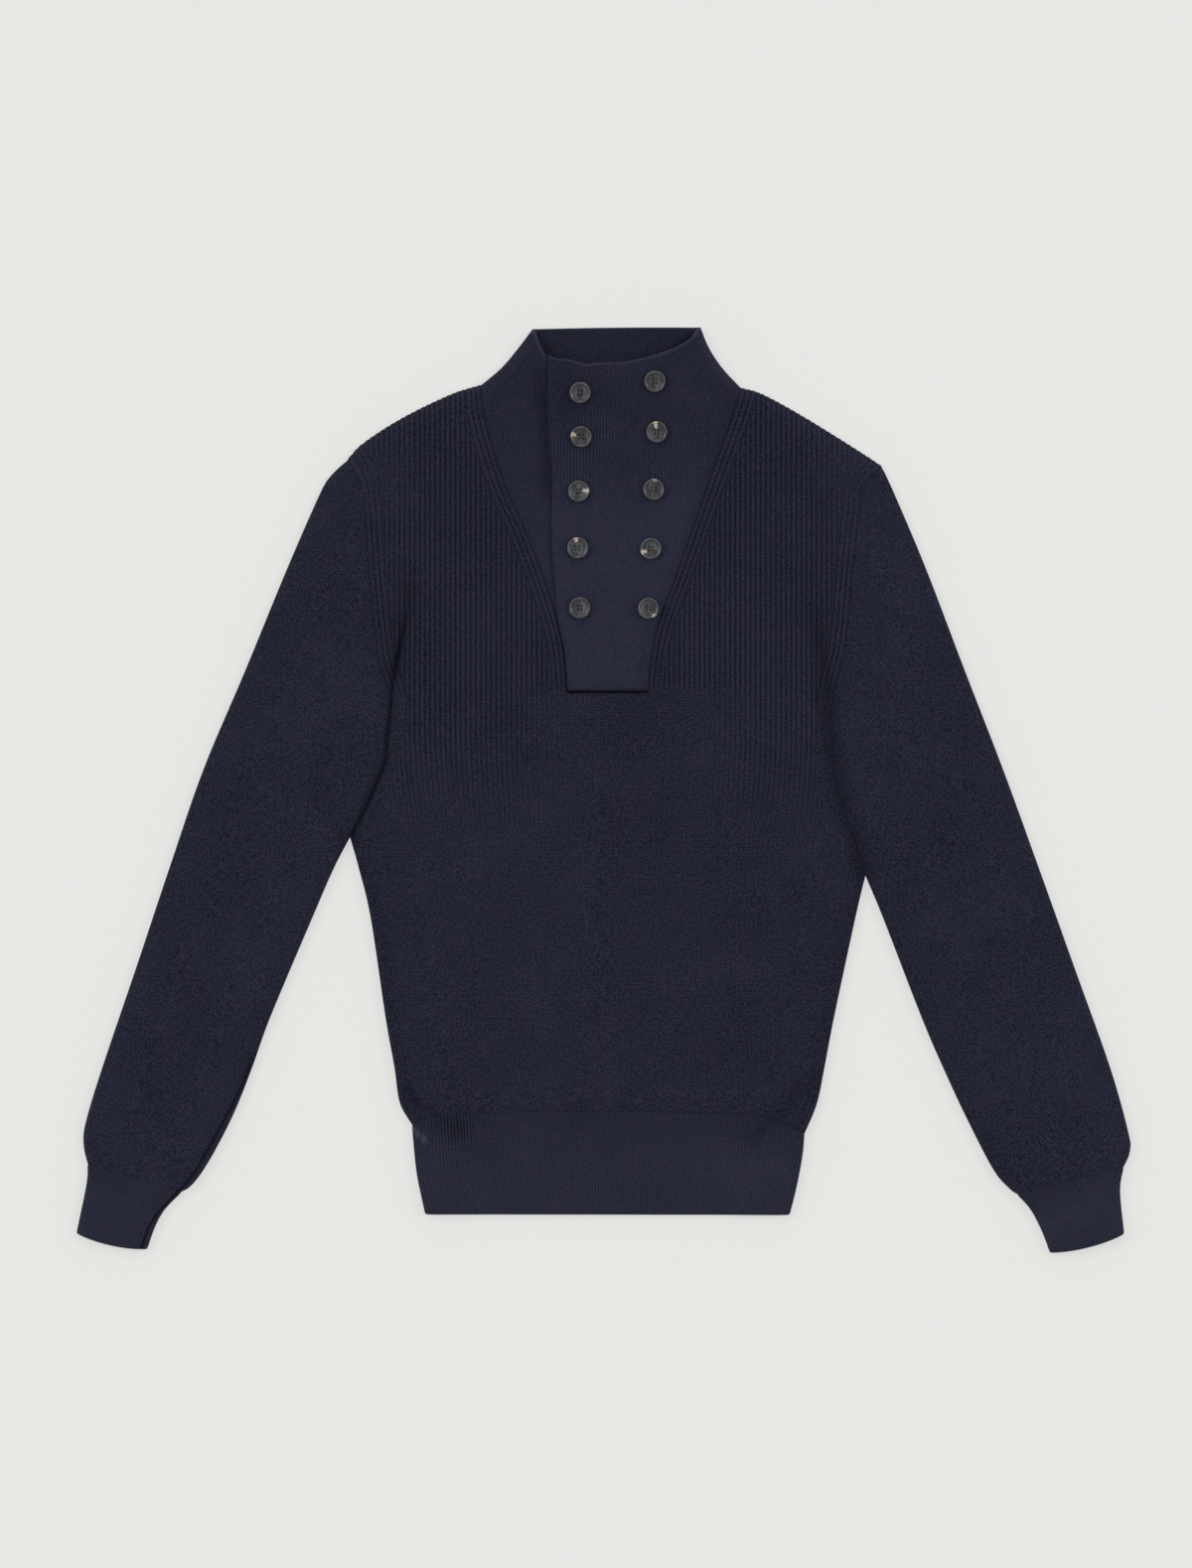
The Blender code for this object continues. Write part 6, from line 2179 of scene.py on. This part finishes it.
@dataclass
class Buttons:
    """Ten four-hole buttons in two rows, each tilted as the overlap lies below it."""

    diameter: float = 18.0
    thickness: float = 3.6
    sides: int = 56
    hole_diameter: float = 1.65
    hole_spacing: float = 3.0
    hole_sides: int = 14
    rest_gap: float = 0.3
    sharp_angle: float = math.radians(40.0)
    thread_radius: float = 0.36
    thread_sides: int = 10
    thread_cuts: int = 7
    thread_share: float = 0.98
    thread_flatness: float = 0.8
    thread_dip: float = 1.9
    # How each stitch is turned, in degrees, and how high it lies
    stitches: Places = ((0.0, 2.45), (90.0, 2.75))
    # Each one's middle, and its pale streak: degrees from +X, and how strong it is
    middles: ClassVar[dict[str, tuple[float, float, float, float]]] = {
        "button_left_1": (-19.3, 335.0, 60.0, 0.1),
        "button_left_2": (-18.5, 298.0, 165.0, 0.7),
        "button_left_3": (-20.6, 252.0, 5.0, 0.95),
        "button_left_4": (-21.4, 204.0, 100.0, 0.6),
        "button_left_5": (-19.7, 153.5, 200.0, 0.05),
        "button_right_1": (43.7, 344.5, 20.0, 0.05),
        "button_right_2": (45.4, 302.0, 98.0, 1.0),
        "button_right_3": (42.8, 253.5, 85.0, 0.35),
        "button_right_4": (40.3, 203.5, 205.0, 0.85),
        "button_right_5": (38.2, 153.0, 308.0, 0.42),
    }
    # The turned profile: share of the radius, height
    profile: ClassVar[Places] = (
        (0.0, 0.0), (0.80, 0.0), (0.93, 0.35), (1.0, 1.1), (1.0, 1.8), (0.985, 2.7), (0.95, 3.3), (0.90, 3.6),
        (0.85, 3.55), (0.80, 3.2), (0.755, 2.75), (0.70, 2.6), (0.45, 2.5), (0.0, 2.45),
    )

    def disc(self) -> bmesh.types.BMesh:
        """A button without its holes, on Z = 0.

        Returns:
            Its shape, turned from the profile.
        """
        mesh = bmesh.new()
        radius = 0.5 * self.diameter
        points = [mesh.verts.new((share * radius * MM, 0.0, z * MM)) for share, z in self.profile]
        edges = [mesh.edges.new(pair) for pair in zip(points, points[1:])]
        bmesh.ops.spin(
            mesh,
            geom=[*points, *edges],
            cent=(0.0, 0.0, 0.0),
            axis=(0.0, 0.0, 1.0),
            angle=2.0 * math.pi,
            steps=self.sides,
            use_merge=True,
        )
        bmesh.ops.remove_doubles(mesh, verts=mesh.verts, dist=1e-6)
        bmesh.ops.recalc_face_normals(mesh, faces=mesh.faces)
        return mesh

    def rod(
        self, mesh: bmesh.types.BMesh, sides: int, radius: float, depth: float, at: Places = ((0.0, 0.0),)
    ) -> list[bmesh.types.BMVert]:
        """Adds upright rods.

        Args:
            mesh: the mesh that gets them.
            sides: how many sides each has.
            radius: their radius.
            depth: their length, half of it above Z = 0.
            at: where they stand.

        Returns:
            Their vertices.
        """
        fresh = []
        for x, y in at:
            rod = bmesh.ops.create_cone(
                mesh,
                cap_ends=True,
                segments=sides,
                radius1=radius * MM,
                radius2=radius * MM,
                depth=depth * MM,
                matrix=Matrix.Translation((x * MM, y * MM, 0.0)),
            )
            fresh += rod["verts"]
        return fresh

    def pierced(self) -> bpy.types.Mesh:
        """Bores the four holes.

        Returns:
            The button's mesh.
        """
        offset = 0.5 * self.hole_spacing
        holes = tuple((x, y) for x in (-offset, offset) for y in (-offset, offset))
        pins = bmesh.new()
        self.rod(pins, self.hole_sides, 0.5 * self.hole_diameter, 4.0 * self.thickness, holes)
        button = placed("button_form", mesh_data(self.disc(), "button_form"))
        cutter = placed("button_pins", mesh_data(pins, "button_pins"))
        cut = button.modifiers.new("holes", "BOOLEAN")
        cut.operation = "DIFFERENCE"
        cut.object = cutter
        graph = bpy.context.evaluated_depsgraph_get()
        result = bpy.data.meshes.new_from_object(button.evaluated_get(graph))
        for thing in (button, cutter):
            bpy.data.objects.remove(thing, do_unlink=True)
        return result

    def seat(self, name: str) -> Matrix:
        """Where a button sits: the middle of its solid, tilted as the cloth below it.

        Args:
            name: the button's node.

        Returns:
            Its place and turn.
        """
        x, y = self.middles[name][:2]
        reach = 0.5 * self.diameter
        over = CollarOver()
        at_x = np.array((x + reach, x - reach, x, x))
        at_y = np.array((y, y, y + reach, y - reach))
        plain = LAY.upper(at_x, at_y, lift=over.lift(at_x, at_y))[0][:, 2]
        up = Vector(((plain[1] - plain[0]) / self.diameter, (plain[3] - plain[2]) / self.diameter, 1.0))
        turn = Vector((0.0, 0.0, 1.0)).rotation_difference(up.normalized())
        low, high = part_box(name)
        middle = 0.5 * (low + high) - turn @ Vector((0.0, 0.0, 0.5 * self.thickness * MM))
        sunk = middle - turn @ Vector((0.0, 0.0, self.rest_gap * MM))
        return Matrix.Translation(sunk) @ turn.to_matrix().to_4x4()

    def thread(self, name: str, place: Matrix, material: bpy.types.Material) -> bpy.types.Object:
        """Two crossing stitches of thread between the holes.

        Args:
            name: the piece's name.
            place: where its button sits.
            material: its finish.

        Returns:
            The piece.
        """
        mesh = bmesh.new()
        reach = 0.5 * self.hole_spacing * math.sqrt(2.0)
        for degrees, level in self.stitches:
            start = len(mesh.verts)
            rod = self.rod(mesh, self.thread_sides, self.thread_radius, 2.0 * reach * self.thread_share)
            sides = {edge for vertex in rod for edge in vertex.link_edges}
            upright = [edge for edge in sides if edge.verts[0].co.z * edge.verts[1].co.z < 0.0]
            bmesh.ops.subdivide_edges(mesh, edges=upright, cuts=self.thread_cuts)
            mesh.verts.ensure_lookup_table()
            fresh = mesh.verts[start:]
            for vertex in fresh:
                dip = self.thread_dip * abs(vertex.co.z / (reach * MM)) ** 5
                up = vertex.co.y * self.thread_flatness + (level - dip) * MM
                vertex.co = Vector((vertex.co.z, vertex.co.x, up))
            turn = Matrix.Rotation(math.radians(45.0 + degrees), 3, "Z")
            bmesh.ops.rotate(mesh, verts=fresh, cent=(0.0, 0.0, 0.0), matrix=turn)
        bmesh.ops.recalc_face_normals(mesh, faces=mesh.faces)
        bmesh.ops.transform(mesh, matrix=place, verts=mesh.verts)
        data = mesh_data(mesh, name)
        data.shade_smooth()
        data.materials.append(material)
        return placed(name, data)

    def horn(
        self, name: str, data: bpy.types.Mesh, place: Matrix, material: bpy.types.Material
    ) -> bpy.types.Object:
        """One button without its thread.

        Args:
            name: the button's node.
            data: a mesh of its own, still on Z = 0.
            place: where it sits.
            material: its finish.

        Returns:
            The piece, with its streak's strength and its face's coordinates.
        """
        degrees, strength = self.middles[name][2:]
        turned = Matrix.Rotation(-math.radians(degrees), 2)
        face = data.uv_layers.new(name="face")
        for loop in data.loops:
            local = data.vertices[loop.vertex_index].co
            face.data[loop.index].uv = turned @ Vector((local.x, local.y)) / (0.5 * self.diameter * MM)
        streak = data.attributes.new("streak", "FLOAT", "POINT")
        streak.data.foreach_set("value", np.full(len(data.vertices), strength, np.float32))
        data.name = f"{name}_horn"
        data.transform(place)
        data.shade_smooth()
        data.set_sharp_from_angle(angle=self.sharp_angle)
        data.materials.append(material)
        return placed(data.name, data)

    def build(self) -> None:
        """Makes all buttons and their threads."""
        form = self.pierced()
        horn_finish = HornFinish().material()
        thread_finish = ThreadFinish().material()
        for name in self.middles:
            place = self.seat(name)
            button = self.horn(name, form.copy(), place, horn_finish)
            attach(button, "root")
            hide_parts(name)
            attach(self.thread(f"{name}_thread", place, thread_finish), "root")
        log.info("%d buttons with their threads", len(self.middles))


@dataclass
class Studio:
    """Floor, light and camera."""

    floor_colour: Colour = (0.25, 0.25, 0.245, 1.0)
    floor_glow: Colour = (0.582, 0.582, 0.569, 1.0)
    floor_half: float = 40.0
    floor_z: float = -0.0004
    sky_colour: Colour = (1.0, 1.0, 0.99, 1.0)
    sky_strength: float = 0.48
    lamp_spread: float = math.radians(26.0)
    # Each lamp's energy, and where it stands in degrees: round from +X, and up
    lamps: ClassVar[dict[str, tuple[float, float, float]]] = {
        "left_light": (0.85, 160.0, 38.0),
        "right_light": (0.75, 15.0, 38.0),
        "top_light": (0.35, 95.0, 35.0),
    }
    camera_height: float = 4.5
    garment_level: float = 0.006
    sensor_width: float = 36.0

    def floor(self) -> None:
        """A pale floor just below the sweater."""
        mesh = bmesh.new()
        bmesh.ops.create_grid(mesh, x_segments=1, y_segments=1, size=self.floor_half)
        bmesh.ops.translate(mesh, verts=mesh.verts, vec=(0.0, 0.0, self.floor_z))
        material = NodeSheet("pale_floor").finish(
            base_color=self.floor_colour,
            roughness=1.0,
            specular_ior_level=0.0,
            emission_color=self.floor_glow,
            emission_strength=1.0,
        )
        data = mesh_data(mesh, "floor")
        data.materials.append(material)
        placed("floor", data)

    def light(self) -> None:
        """Even light from all round, and three broad lamps that cast faint shadows."""
        world = bpy.data.worlds.new("studio")
        world.use_nodes = True
        background = world.node_tree.nodes["Background"]
        background.inputs["Color"].default_value = self.sky_colour
        background.inputs["Strength"].default_value = self.sky_strength
        bpy.context.scene.world = world
        for name, (energy, azimuth, elevation) in self.lamps.items():
            lamp = bpy.data.lights.new(name, "SUN")
            lamp.energy = energy
            lamp.angle = self.lamp_spread
            around, up = math.radians(azimuth), math.radians(elevation)
            towards = Vector((math.cos(around) * math.cos(up), math.sin(around) * math.cos(up), math.sin(up)))
            placed(name, lamp).rotation_euler = towards.to_track_quat("Z", "Y").to_euler()

    def camera(self) -> None:
        """Straight down, the frame as wide as the photo's."""
        lens = bpy.data.cameras.new("camera")
        lens.sensor_fit = "HORIZONTAL"
        lens.sensor_width = self.sensor_width
        lens.lens = self.sensor_width * (self.camera_height - self.garment_level) / (PHOTO_WIDTH * MM)
        lens.clip_end = 100.0
        view = placed("camera", lens)
        view.location = (PHOTO_MIDDLE[0] * MM, PHOTO_MIDDLE[1] * MM, self.camera_height)
        bpy.context.scene.camera = view

    def build(self) -> None:
        """Sets up the whole studio."""
        self.floor()
        self.light()
        self.camera()
        bpy.context.scene.view_settings.view_transform = "Standard"
        log.info("studio ready")


def main() -> None:
    """Builds every piece of the sweater, then the studio."""
    logging.basicConfig(level=logging.INFO, format="%(name)s: %(message)s")
    Back().build()
    CollarBack().build()
    Front().build()
    for side in Side:
        Sleeve(side).build()
        Cuff(side=side).build()
    HemBand().build()
    CollarUnder().build()
    CollarOver().build()
    Buttons().build()
    Studio().build()


if __name__ == "__main__":
    main()
